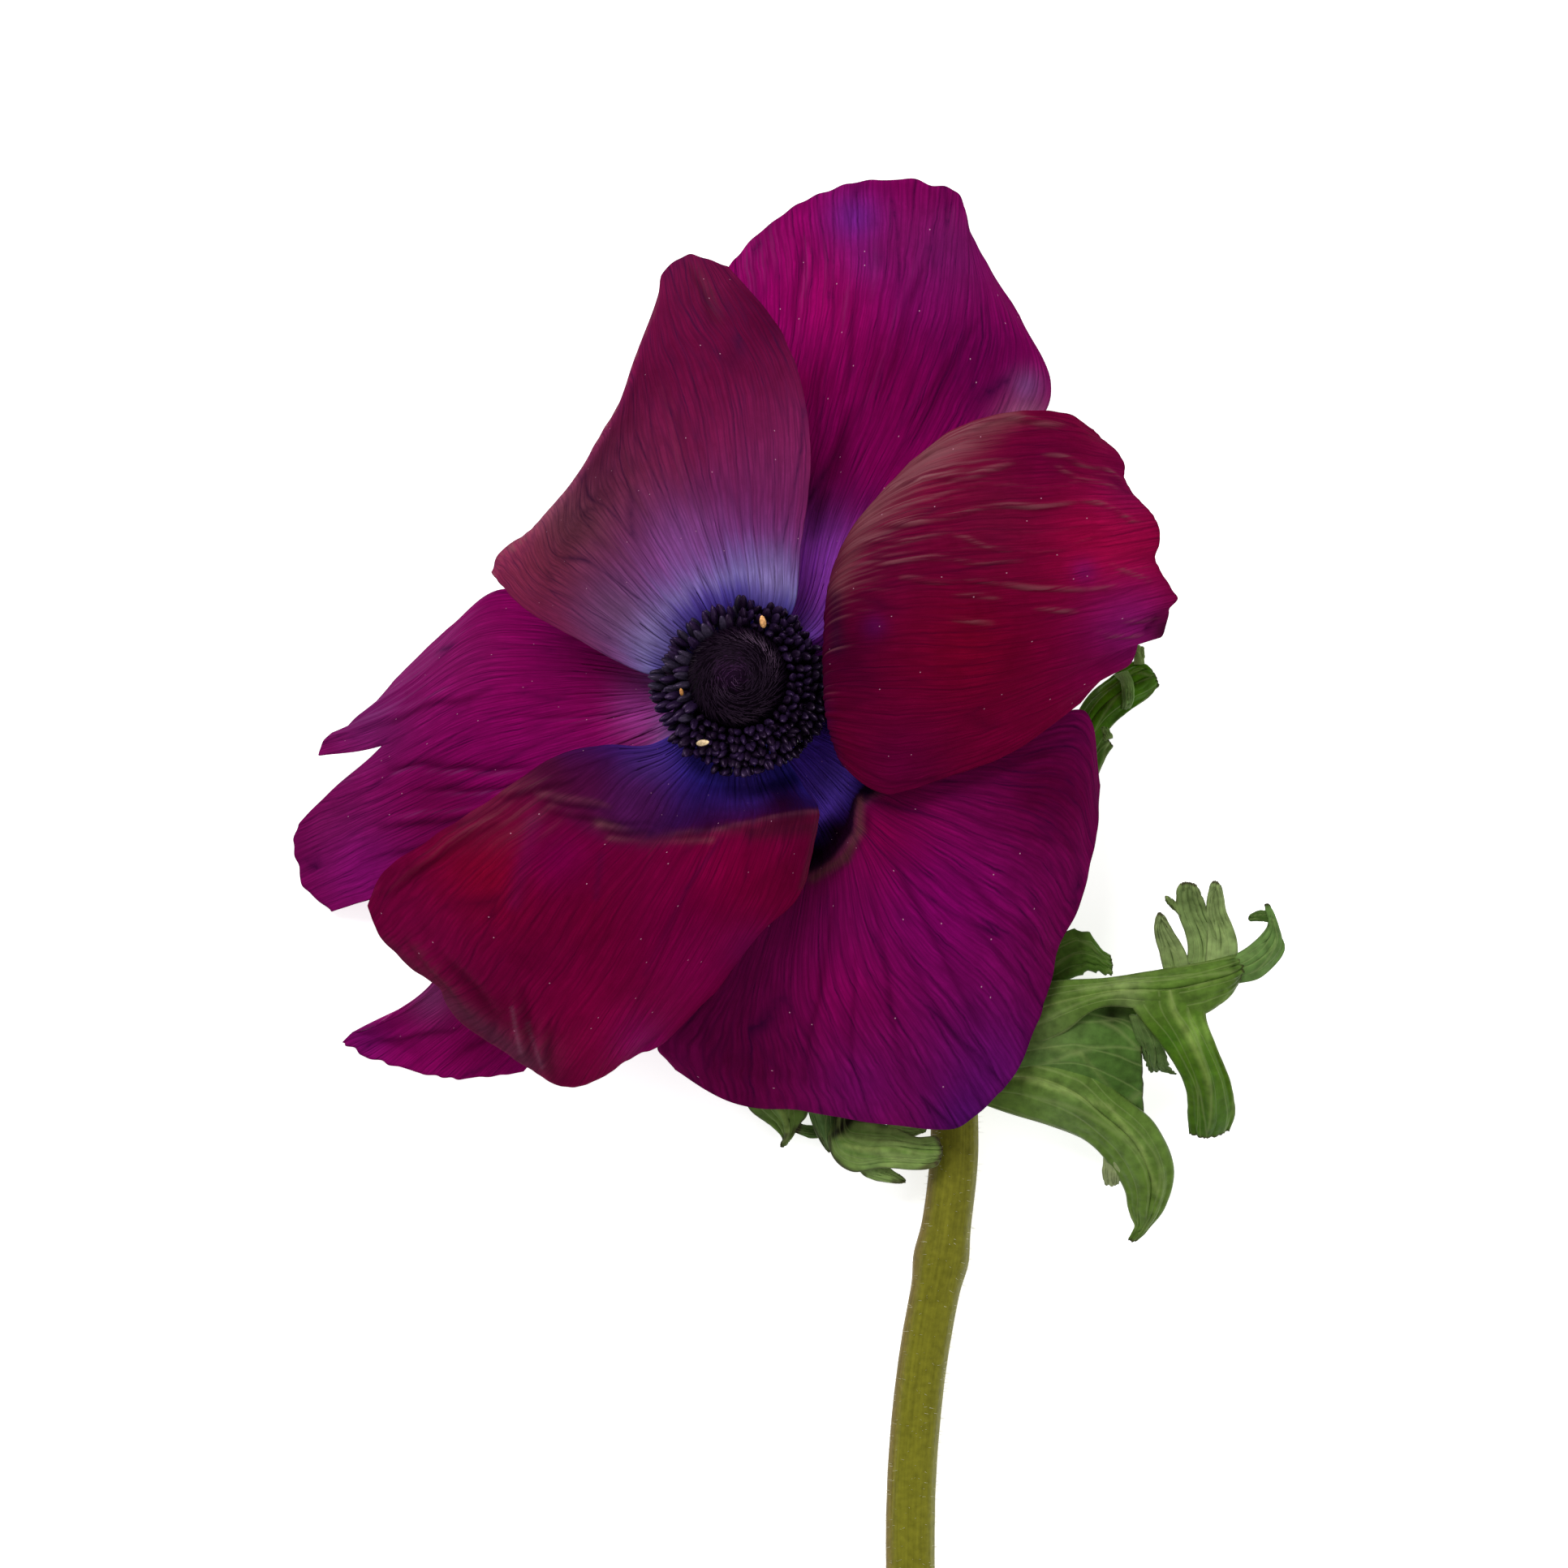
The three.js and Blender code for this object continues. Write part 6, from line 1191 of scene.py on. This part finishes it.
def stem_material():
    """Anemone stem, satin, with the greens of the mesh's washes."""
    material, tree, shader = new_material("stem tissue olive", 0.5, 0.15, 0.05, "f0ecd8", "d8d890")
    wash = add(tree, "ShaderNodeAttribute", attribute_name="wash")
    flat = add(tree, "ShaderNodeUVMap", uv_map="across_along")
    fibres = add(tree, "ShaderNodeVectorMath", {0: flat.outputs["UV"], 1: STEM_FIBRES},
                 operation="MULTIPLY")
    streak = add(tree, "ShaderNodeTexNoise", {"Vector": fibres.outputs[0], "Scale": 1.0, "Detail": 4.0})
    # mottles are 0.7 mm wide
    place = add(tree, "ShaderNodeTexCoord").outputs["Object"]
    mottle = add(tree, "ShaderNodeTexNoise", {"Vector": place, "Scale": 1500.0, "Detail": 3.0})
    mixed = add(tree, "ShaderNodeMath", {0: streak.outputs["Fac"], 1: mottle.outputs["Fac"]})
    tone = add(tree, "ShaderNodeMapRange", {"Value": mixed.outputs[0], "From Min": 0.7,
                                            "From Max": 1.3, "To Min": 0.75, "To Max": 1.25})
    toned = add(tree, "ShaderNodeVectorMath", {0: wash.outputs["Color"], "Scale": tone.outputs[0]},
                operation="SCALE")
    tree.links.new(toned.outputs[0], shader.inputs["Base Color"])
    bump = add(tree, "ShaderNodeBump", {"Height": mixed.outputs[0], "Distance": 0.15 * MM,
                                        "Strength": 0.5})
    tree.links.new(bump.outputs["Normal"], shader.inputs["Normal"])
    return material


stem_tissue = stem_material()
print("stem material:", stem_tissue.name)

# %% [markdown]
# A curve with a round bevel would give the tube at once. Here a cylinder is cut into
# rings, and each ring is moved to its place on the line, turned square to it, because
# every point then knows its turn and its share of the length. The colours need both: the
# stem is browner on one side, and its cut end shows the pale pith.

# %% Tube of the stem
STEM_SIDES, STEM_CUTS = 48, 260
CUT_INSETS = (0.12, 0.5)    # rings on the cut end, as shares of the radius
STEM_WASHES = [(16.7, -80, 20, "747220", 0.6), (20, -50, 9, "6c6a20", 0.8)]

bm = bmesh.new()
bmesh.ops.create_cone(bm, cap_ends=True, segments=STEM_SIDES, radius1=1, radius2=1, depth=1)
rising = [e for e in bm.edges if abs(e.verts[0].co.z - e.verts[1].co.z) > 0.5]
bmesh.ops.subdivide_edges(bm, edges=rising, cuts=STEM_CUTS)
ends = [f for f in bm.faces if len(f.verts) > 4]
cut_face = min(ends, key=lambda f: f.calc_center_median().z)
for inset in CUT_INSETS:
    bmesh.ops.inset_individual(bm, faces=[cut_face], thickness=inset, depth=0)
raw = np.array([vert.co[:] for vert in bm.verts])
share = raw[:, 2] + 0.5
turn = np.arctan2(raw[:, 1], raw[:, 0])
out = np.hypot(raw[:, 0], raw[:, 1])
middle, aside, upward, radius = stem_frame(share)
radius = radius * out * (1 + 0.012 * np.cos(9 * turn) + 0.006 * ripple(3, share, 30))
places = middle + (np.cos(turn) * radius)[:, None] * aside + (np.sin(turn) * radius)[:, None] * upward
places[:, 2] = np.maximum(places[:, 2], 0.02)
colours = painted("6e6c1e", None, STEM_WASHES, places, turn, share, 3)
colours = tinted(colours, 0.55 * fade(-np.cos(turn), 0.55, 1.0), "6b4a34")
colours = tinted(colours, 1 - fade(out, 0.75, 0.95), "c9cf9a")
layer = bm.verts.layers.float_color.new("wash")
for vert, place, colour in zip(bm.verts, (places + BLOOM) * MM, colours):
    vert.co = place
    vert[layer] = (*colour, 1)
print("stem rings and sides:", STEM_CUTS + 2, STEM_SIDES)

# %% [markdown]
# The fibres need a map round and along the tube. A face that spans the seam of the
# circle is given the turn past it, so the pattern doesn't run back across one face.

# %% Map of the stem
flat = bm.loops.layers.uv.new("across_along")
number = {vert: k for k, vert in enumerate(bm.verts)}
for face in bm.faces:
    face.smooth = True
    first = turn[number[face.loops[0].vert]]
    for loop in face.loops:
        k = number[loop.vert]
        round_share = (turn[k] - first + math.pi) % (2 * math.pi) - math.pi + first
        loop[flat].uv = (round_share / (2 * math.pi), share[k])
print("faces in the map:", len(bm.faces))

# %% [markdown]
# On top of the stem stands the knob that petals and stamens grow from. Its outline is
# spun round. It belongs to the stem, as it grew with it, so both go into one mesh.

# %% Knob
KNOB = [(0, 15.6), (1.6, 16), (2.9, 17.6), (3.72, 20), (3.72, 24.1), (3.3, 24.4), (0, 24.4)]

rim = [bm.verts.new(((x + BLOOM[0]) * MM, BLOOM[1] * MM, z * MM)) for x, z in KNOB]
outline = [bm.edges.new(pair) for pair in zip(rim, rim[1:])]
bmesh.ops.spin(bm, geom=rim + outline, cent=(BLOOM[0] * MM, BLOOM[1] * MM, 0), axis=(0, 0, 1),
               angle=2 * math.pi, steps=40, use_merge=True)
green = (*linear("6f7a34"), 1)
for vert in bm.verts:
    if vert not in number:
        vert[layer] = green
fresh = [f for f in bm.faces if f.verts[0] not in number]
bmesh.ops.remove_doubles(bm, verts=list({v for f in fresh for v in f.verts}), dist=1e-6)
fresh = [f for f in bm.faces if f.verts[0] not in number]
bmesh.ops.recalc_face_normals(bm, faces=fresh)
for face in fresh:
    face.smooth = True
stem = finished("fine_stem", bm, stem_tissue)
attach(stem, "root")
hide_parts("stem")
print("stem points:", len(stem.data.vertices))

# %% [markdown]
# Hairs, stamens and styles are hundreds of copies of one small shape. The shape is
# doubled until there are enough, each copy with its number, and then all points are set
# at once: each copy is turned so that its own length lies along its way.

# %% Many copies of one shape
def copies(bm, count):
    """The one shape in a bmesh made into this many. Gives each point's copy and its number
    in the shape."""
    bm.verts.layers.int.new("number")
    bm.verts.layers.int.new("copy")
    number, copy = (bm.verts.layers.int[key] for key in ("number", "copy"))
    for k, vert in enumerate(bm.verts):
        vert[number] = k
    made = 1
    while made < count:
        fresh = bmesh.ops.duplicate(bm, geom=[*bm.verts, *bm.edges, *bm.faces])["geom"]
        for item in fresh:
            if isinstance(item, bmesh.types.BMVert):
                item[copy] += made
        made *= 2
    bmesh.ops.delete(bm, geom=[vert for vert in bm.verts if vert[copy] >= count], context="VERTS")
    which = np.array([(vert[copy], vert[number]) for vert in bm.verts])
    for key in ("number", "copy"):
        bm.verts.layers.int.remove(bm.verts.layers.int[key])
    return which[:, 0], which[:, 1]


def set_along(shape, middles, ways, widths, rolls):
    """Copies of a shape's points, each with its own Z turned to a way, in millimetres."""
    lengths = np.linalg.norm(ways, axis=1)[:, None]
    ahead = ways / lengths
    aside = np.cross(ahead, np.where(np.abs(ahead[:, 2:]) < 0.9, (0.0, 0.0, 1.0), (1.0, 0.0, 0.0)))
    aside /= np.linalg.norm(aside, axis=1)[:, None]
    other = np.cross(ahead, aside)
    x = np.cos(rolls)[:, None] * aside + np.sin(rolls)[:, None] * other
    y = np.cross(ahead, x)
    turned = np.stack([x * widths[:, None], y * widths[:, None], ahead * lengths], axis=1)
    return middles[:, None, :] + np.einsum("vi,kij->kvj", shape, turned)


def bristles(roots, tips, radius, sides=3, colour="000000"):
    """Thin cones from roots to tips, both in millimetres round the bloom's middle."""
    bm = bmesh.new()
    bmesh.ops.create_cone(bm, cap_ends=True, segments=sides, radius1=1, radius2=0.25, depth=1)
    shape = np.array([vert.co[:] for vert in bm.verts])
    which = copies(bm, len(roots))
    layer = bm.verts.layers.float_color.new("wash")
    places = set_along(shape, (roots + tips) / 2, tips - roots, np.full(len(roots), radius),
                       np.zeros(len(roots)))
    shade = (*linear(colour), 1)
    for vert, place in zip(bm.verts, (places[which] + BLOOM) * MM):
        vert.co = place
        vert[layer] = shade
    return bm


print("doublings for 1500 copies:", math.ceil(math.log2(1500)))

# %% [markdown]
# The stem's down is a coat of short tapering hairs, without colour, that shows only at
# its edge against the white. Hair curves would be lighter, but a model that is passed on
# loses them. So each hair is a cone of three sides that leans a little.

# %% Down of the stem
HAIRS = 1800
HAIR_RADIUS = 0.022                    # mm
HAIR_LENGTH = (0.35, 0.75)             # mm
TABLE_CLEARANCE, HIDDEN_ABOVE = 0.1, 15  # no hair touches the table or grows under the bloom, mm

hair_material, tree, shader = new_material("plant hairs colourless", 0.4, 0.5, 0.5)
tint = add(tree, "ShaderNodeTexNoise", {"Vector": add(tree, "ShaderNodeTexCoord").outputs["Object"],
                                        "Scale": 300.0})
pale = add(tree, "ShaderNodeValToRGB", {"Fac": tint.outputs["Fac"]},
           stops=[(0.3, "b3b08c"), (0.7, "e6e2cc")])
tree.links.new(pale.outputs["Color"], shader.inputs["Base Color"])

rng = np.random.default_rng(8)
share = rng.uniform(0.0, 0.97, HAIRS)
turn = rng.uniform(0, 2 * math.pi, HAIRS)
middle, aside, upward, radius = stem_frame(share)
outward = np.cos(turn)[:, None] * aside + np.sin(turn)[:, None] * upward
root = middle + outward * (radius * 0.97)[:, None]
lean = rng.uniform(-0.25, 0.25, (HAIRS, 3))
tip = root + (outward + lean) * rng.uniform(*HAIR_LENGTH, HAIRS)[:, None]
free = (tip[:, 2] > TABLE_CLEARANCE) & (root[:, 2] < HIDDEN_ABOVE)
down_and_painted_sheen = finished("stem_down", bristles(root[free], tip[free], HAIR_RADIUS), hair_material)
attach(down_and_painted_sheen, "root")
print("hairs:", int(free.sum()))

# %% [markdown]
# Each stamen is a thread with an anther on top: a bean of two lobes with a seam between.
# One anther is a sphere, drawn long and pinched along its seam. Its wall is smooth and
# waxy, near black, with grains of pollen on it.

# %% An anther and its wall
THREAD_COLOUR = "150a1c"


def anthers(middles, ways, widths, rolls, colours):
    """Anthers at these places, each as long as its way, all in millimetres."""
    bm = bmesh.new()
    bmesh.ops.create_uvsphere(bm, u_segments=16, v_segments=8, radius=0.5)
    x, y, z = np.array([vert.co[:] for vert in bm.verts]).T
    taper = 1 - 0.25 * (z + 0.5) ** 2
    seam = 1 - 0.42 * np.exp(-(x / 0.13) ** 2) * np.where(y > 0, 1, 0.6)
    shape = np.stack([x * taper, 0.82 * y * seam * taper, z], axis=1)
    which = copies(bm, len(middles))
    places = set_along(shape, middles, ways, widths, rolls)
    # painted light: each anther is painted up to 2.2 times brighter towards its upper end
    lit_colours = colours[:, None, :] * (1 + 1.2 * np.maximum(z, 0))[None, :, None]
    layer = bm.verts.layers.float_color.new("wash")
    for vert, place, shade in zip(bm.verts, (places[which] + BLOOM) * MM, lit_colours[which]):
        vert.co = place
        vert[layer] = (*shade, 1)
    return bm


def anther_material():
    """Anther wall: smooth and waxy, near black with a purple bloom."""
    material, tree, shader = new_material("anther wall waxy purple-black", 0.3, 0.5, gloss_tint="b498c0")
    wash = add(tree, "ShaderNodeAttribute", attribute_name="wash")
    place = add(tree, "ShaderNodeTexCoord").outputs["Object"]
    # pollen grains are 0.03 mm; drawn at over 0.1 mm so that they show
    grains = add(tree, "ShaderNodeTexNoise", {"Vector": place, "Scale": 6000.0, "Detail": 2.0})
    tone = add(tree, "ShaderNodeMapRange", {"Value": grains.outputs["Fac"], "From Min": 0.35,
                                            "From Max": 0.7, "To Min": 0.7, "To Max": 1.5})
    toned = add(tree, "ShaderNodeVectorMath", {0: wash.outputs["Color"], "Scale": tone.outputs[0]},
                operation="SCALE")
    tree.links.new(toned.outputs[0], shader.inputs["Base Color"])
    bump = add(tree, "ShaderNodeBump", {"Height": grains.outputs["Fac"], "Distance": 0.06 * MM,
                                        "Strength": 0.35})
    tree.links.new(bump.outputs["Normal"], shader.inputs["Normal"])
    return material


anther_wall = anther_material()
print("anther material:", anther_wall.name)

# %% [markdown]
# Hundreds of stamens crowd round the pistils in rows, in an upper and a lower storey. On
# the left the anthers lie outwards and show their length. On the right and below they
# point up and show their ends, and there and in the lower storey they are painted darker
# as painted shade. Three old ones have split and show pollen.

# %% Stamens in their rows
DOME_SHIFT = np.array([-0.5, 1.0])      # the dome stands off the bloom's middle, mm
DOME_RADIUS = 4.9                       # mm
DOME_GAP = 0.45                         # between the dome and the first row, mm
RING_RADIUS, RING_RIGHT = 8.35, 7.8     # how far the stamens reach, in all and to the right, mm
STAMEN_ROWS = (40, 46, 52, 58, 62, 66)  # stamens in each row and storey, from the dome outwards
ANTHER_HEIGHT, HEIGHT_STRAY, STOREY = 28.7, 0.9, 1.25  # mm
OLD_ANTHERS = [  # place, way, size, pollen's colour
    (2.0, 6.5, (-0.2, 1, 0.4), 1, "d9a066"),
    (-3.9, -5.4, (1, 0.15, 0.3), 1, "cdb48c"),
    (-6.0, -0.4, (-0.2, 1, 0.4), 0.6, "a8743c")]
OLD_HEIGHT = 30.3                       # mm

rng = np.random.default_rng(7)
rows = []
for row, count in enumerate(STAMEN_ROWS):
    for k in range(2 * count):
        under = k >= count
        angle = 2 * math.pi * (k + 0.5 * (row % 2) + 0.5 * under + rng.uniform(-0.4, 0.4)) / count
        height, roll, size, stray, nudge = rng.uniform(0, 1, 5)
        ray = np.array([math.cos(angle), math.sin(angle)])
        inner = DOME_SHIFT + (DOME_RADIUS + DOME_GAP) * ray
        room = RING_RADIUS - np.hypot(*inner)
        left = float(fade(-ray[0] + 0.5 * ray[1], 0.15, 0.8))
        gap = 0.76 + 0.4 * left
        if row * gap > room + 0.3 * stray or (under and row == 0):
            continue
        share = min((row + 0.35 * (nudge - 0.5)) * gap / max(room, 0.1), 1)
        spot = inner + (RING_RADIUS * ray - inner) * max(share, 0)
        spot[0] = min(spot[0], RING_RIGHT)
        z = (ANTHER_HEIGHT - 1.5 * share + 0.13 * spot[0] - 0.16 * spot[1] + HEIGHT_STRAY * height
             - STOREY * under)
        tilt = 0.25 + 1.9 * left + 0.5 * share
        way = np.array([*(ray * tilt + rng.uniform(-0.5, 0.5, 2)), 1])
        way *= (1.35 + 0.35 * size + 0.65 * left) / np.linalg.norm(way)
        shade = "231d2c" if left > 0.6 and stray > 0.5 else "150a1c" if stray > 0.45 else "1d1029"
        # painted shade: darker towards the right and below, under the right inner petal, and in the lower
        # storey
        painted_shade_factor = 1 - 0.7 * float(fade(spot[0] - 0.35 * spot[1], 4.5, 8.5)) - 0.25 * under
        rows.append((*spot, z, *way, 0.86 + 0.2 * size + 0.1 * left, roll * math.pi,
                     *[c * painted_shade_factor for c in linear(shade)]))
for x, y, way, size, pollen in OLD_ANTHERS:
    way = np.array(way) * 1.35 * size / np.linalg.norm(way)
    rows.append((x, y, OLD_HEIGHT, *way, 0.72 * size, 0.4, *linear(pollen)))
rows = np.array(rows)
print("stamens:", len(rows))

# %% [markdown]
# The threads rise from a narrow ring of feet and lean outwards to their anthers. A low
# disc under them is the rim that all stamens grow from.

# %% Make the stamens
FOOT_RADIUS, FOOT_HEIGHT = 4.2, 25.2    # mm
THREAD_RADIUS = 0.24                    # mm
RIM_HEIGHT, RIM_THICK = 25.05, 1.1      # the disc's middle and its thickness, mm
RIM_BELOW, RIM_ABOVE = 4.7, 4.5         # its radius below and above, mm

bm = anthers(rows[:, :3], rows[:, 3:6], rows[:, 6], rows[:, 7], rows[:, 8:])
inwards = FOOT_RADIUS / np.linalg.norm(rows[:, :2], axis=1)[:, None]
feet = np.concatenate([rows[:, :2] * inwards, np.full((len(rows), 1), FOOT_HEIGHT)], axis=1)
join_into(bm, bristles(feet, rows[:, :3], THREAD_RADIUS, 5, THREAD_COLOUR))
disc = bmesh.ops.create_cone(bm, cap_ends=True, segments=40, radius1=RIM_BELOW * MM,
                             radius2=RIM_ABOVE * MM, depth=RIM_THICK * MM,
                             matrix=Matrix.Translation(Vector((*BLOOM[:2], RIM_HEIGHT)) * MM))
layer = bm.verts.layers.float_color["wash"]
dark = (*linear("140c1c"), 1)
for vert in disc["verts"]:
    vert[layer] = dark
for face in bm.faces:
    face.smooth = True
stamens = finished("fine_stamens", bm, anther_wall)
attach(stamens, "root")
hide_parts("stamens")
print("faces of the stamens:", len(stamens.data.polygons))

# %% [markdown]
# The dome is a head of hundreds of pistils under a silky down. It has a purple painted
# highlight in the middle and is near black at its rim, so its colour follows the distance
# from the middle.

# %% Pistil tissue
DOME_HIGHLIGHT = np.array([-5.2, 58.2, 31.5])  # middle of the painted purple highlight, in the part's frame, mm
HIGHLIGHT_REACH = 4.2                          # mm


def pistil_material(name, middle, rim, roughness, specular):
    """Down of the pistils: silky, with a purple painted highlight in the middle of the dome, near black at
    its rim.
    """
    material, tree, shader = new_material(name, roughness, specular, gloss_tint="c098c0")
    place = add(tree, "ShaderNodeTexCoord").outputs["Object"]
    centred = add(tree, "ShaderNodeMapping", {"Vector": place, "Location": tuple(-DOME_HIGHLIGHT * MM)})
    far = add(tree, "ShaderNodeVectorMath", {0: centred.outputs[0]}, operation="LENGTH")
    highlight = add(tree, "ShaderNodeMapRange", {"Value": far.outputs["Value"], "From Min": 0.0,
                                            "From Max": HIGHLIGHT_REACH * MM})
    # tufts of down are 0.4 mm wide
    grain = add(tree, "ShaderNodeTexNoise", {"Vector": place, "Scale": 2500.0, "Detail": 2.0})
    mixed = add(tree, "ShaderNodeMath", {0: highlight.outputs[0], 1: grain.outputs["Fac"]})
    tone = add(tree, "ShaderNodeValToRGB", {"Fac": mixed.outputs[0]},
               stops=[(0.35, middle), (1.0, rim)])
    tree.links.new(tone.outputs["Color"], shader.inputs["Base Color"])
    return material


pistil_down = pistil_material("pistil down silky black-purple", "1c0820", "060208", 0.5, 0.08)
pistil_style = pistil_material("pistil style glossy purple", "3c1c42", "150a19", 0.35, 0.4)
print("pistil materials:", pistil_down.name, pistil_style.name)

# %% [markdown]
# Each pistil ends in a fine dark style. The styles lie combed in a whorl: outwards near
# the rim and round and round near the top. The dome is a sphere, drawn low, and the
# styles are thin bristles set close all over it.

# %% Dome of pistils
DOME_BOTTOM, DOME_EQUATOR, DOME_TOP = 25.9, 28.2, 31.6  # mm
STYLES = 1500
STYLE_RADIUS = 0.042                                    # mm


def dome_point(turn, reach):
    """Places on the dome at angles and shares of the way from its top to its rim."""
    rise = np.cos(reach * math.pi / 2)
    flat = np.sin(reach * math.pi / 2) * DOME_RADIUS
    return np.stack([DOME_SHIFT[0] + flat * np.cos(turn), DOME_SHIFT[1] + flat * np.sin(turn),
                     DOME_EQUATOR + (DOME_TOP - DOME_EQUATOR) * rise], axis=1)


bm = bmesh.new()
bmesh.ops.create_uvsphere(bm, u_segments=56, v_segments=36, radius=1)
for vert in bm.verts:
    x, y, z = vert.co
    height = DOME_EQUATOR + z * (DOME_TOP - DOME_EQUATOR if z > 0 else DOME_EQUATOR - DOME_BOTTOM)
    share = min((height - DOME_BOTTOM) / (DOME_EQUATOR - DOME_BOTTOM), 1)
    vert.co = ((BLOOM[0] + x * DOME_RADIUS + DOME_SHIFT[0] * share) * MM,
               (BLOOM[1] + y * DOME_RADIUS + DOME_SHIFT[1] * share) * MM, height * MM)
for face in bm.faces:
    face.smooth = True
dome_faces = len(bm.faces)
rng = np.random.default_rng(5)
reach = np.sqrt((np.arange(STYLES) + 0.5) / STYLES) * 1.02 + rng.uniform(-0.04, 0.04, STYLES)
reach = np.maximum(reach, 0)
turn = rng.uniform(0, 2 * math.pi, STYLES)
comb = fade(reach, 0.35, 0.9)
round_by = ((1 - comb) * 0.16 / np.maximum(reach, 0.2) + 0.05) * (1 + rng.uniform(-0.6, 0.6, STYLES))
starts = dome_point(turn, reach)
ends = dome_point(turn + round_by, np.minimum(reach + 0.03 + 0.17 * comb, 1.06))
outward = ends - (*DOME_SHIFT, DOME_EQUATOR)
outward /= np.linalg.norm(outward, axis=1)[:, None]
ends += outward * rng.uniform(0.05, 0.28, (STYLES, 1))
join_into(bm, bristles(starts, ends, STYLE_RADIUS))
bm.faces.ensure_lookup_table()
for face in bm.faces[dome_faces:]:
    face.material_index = 1
dome = finished("fine_pistil_dome", bm, pistil_down, pistil_style)
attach(dome, "root")
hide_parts("pistil_dome")
print("styles:", STYLES, "faces:", len(dome.data.polygons))
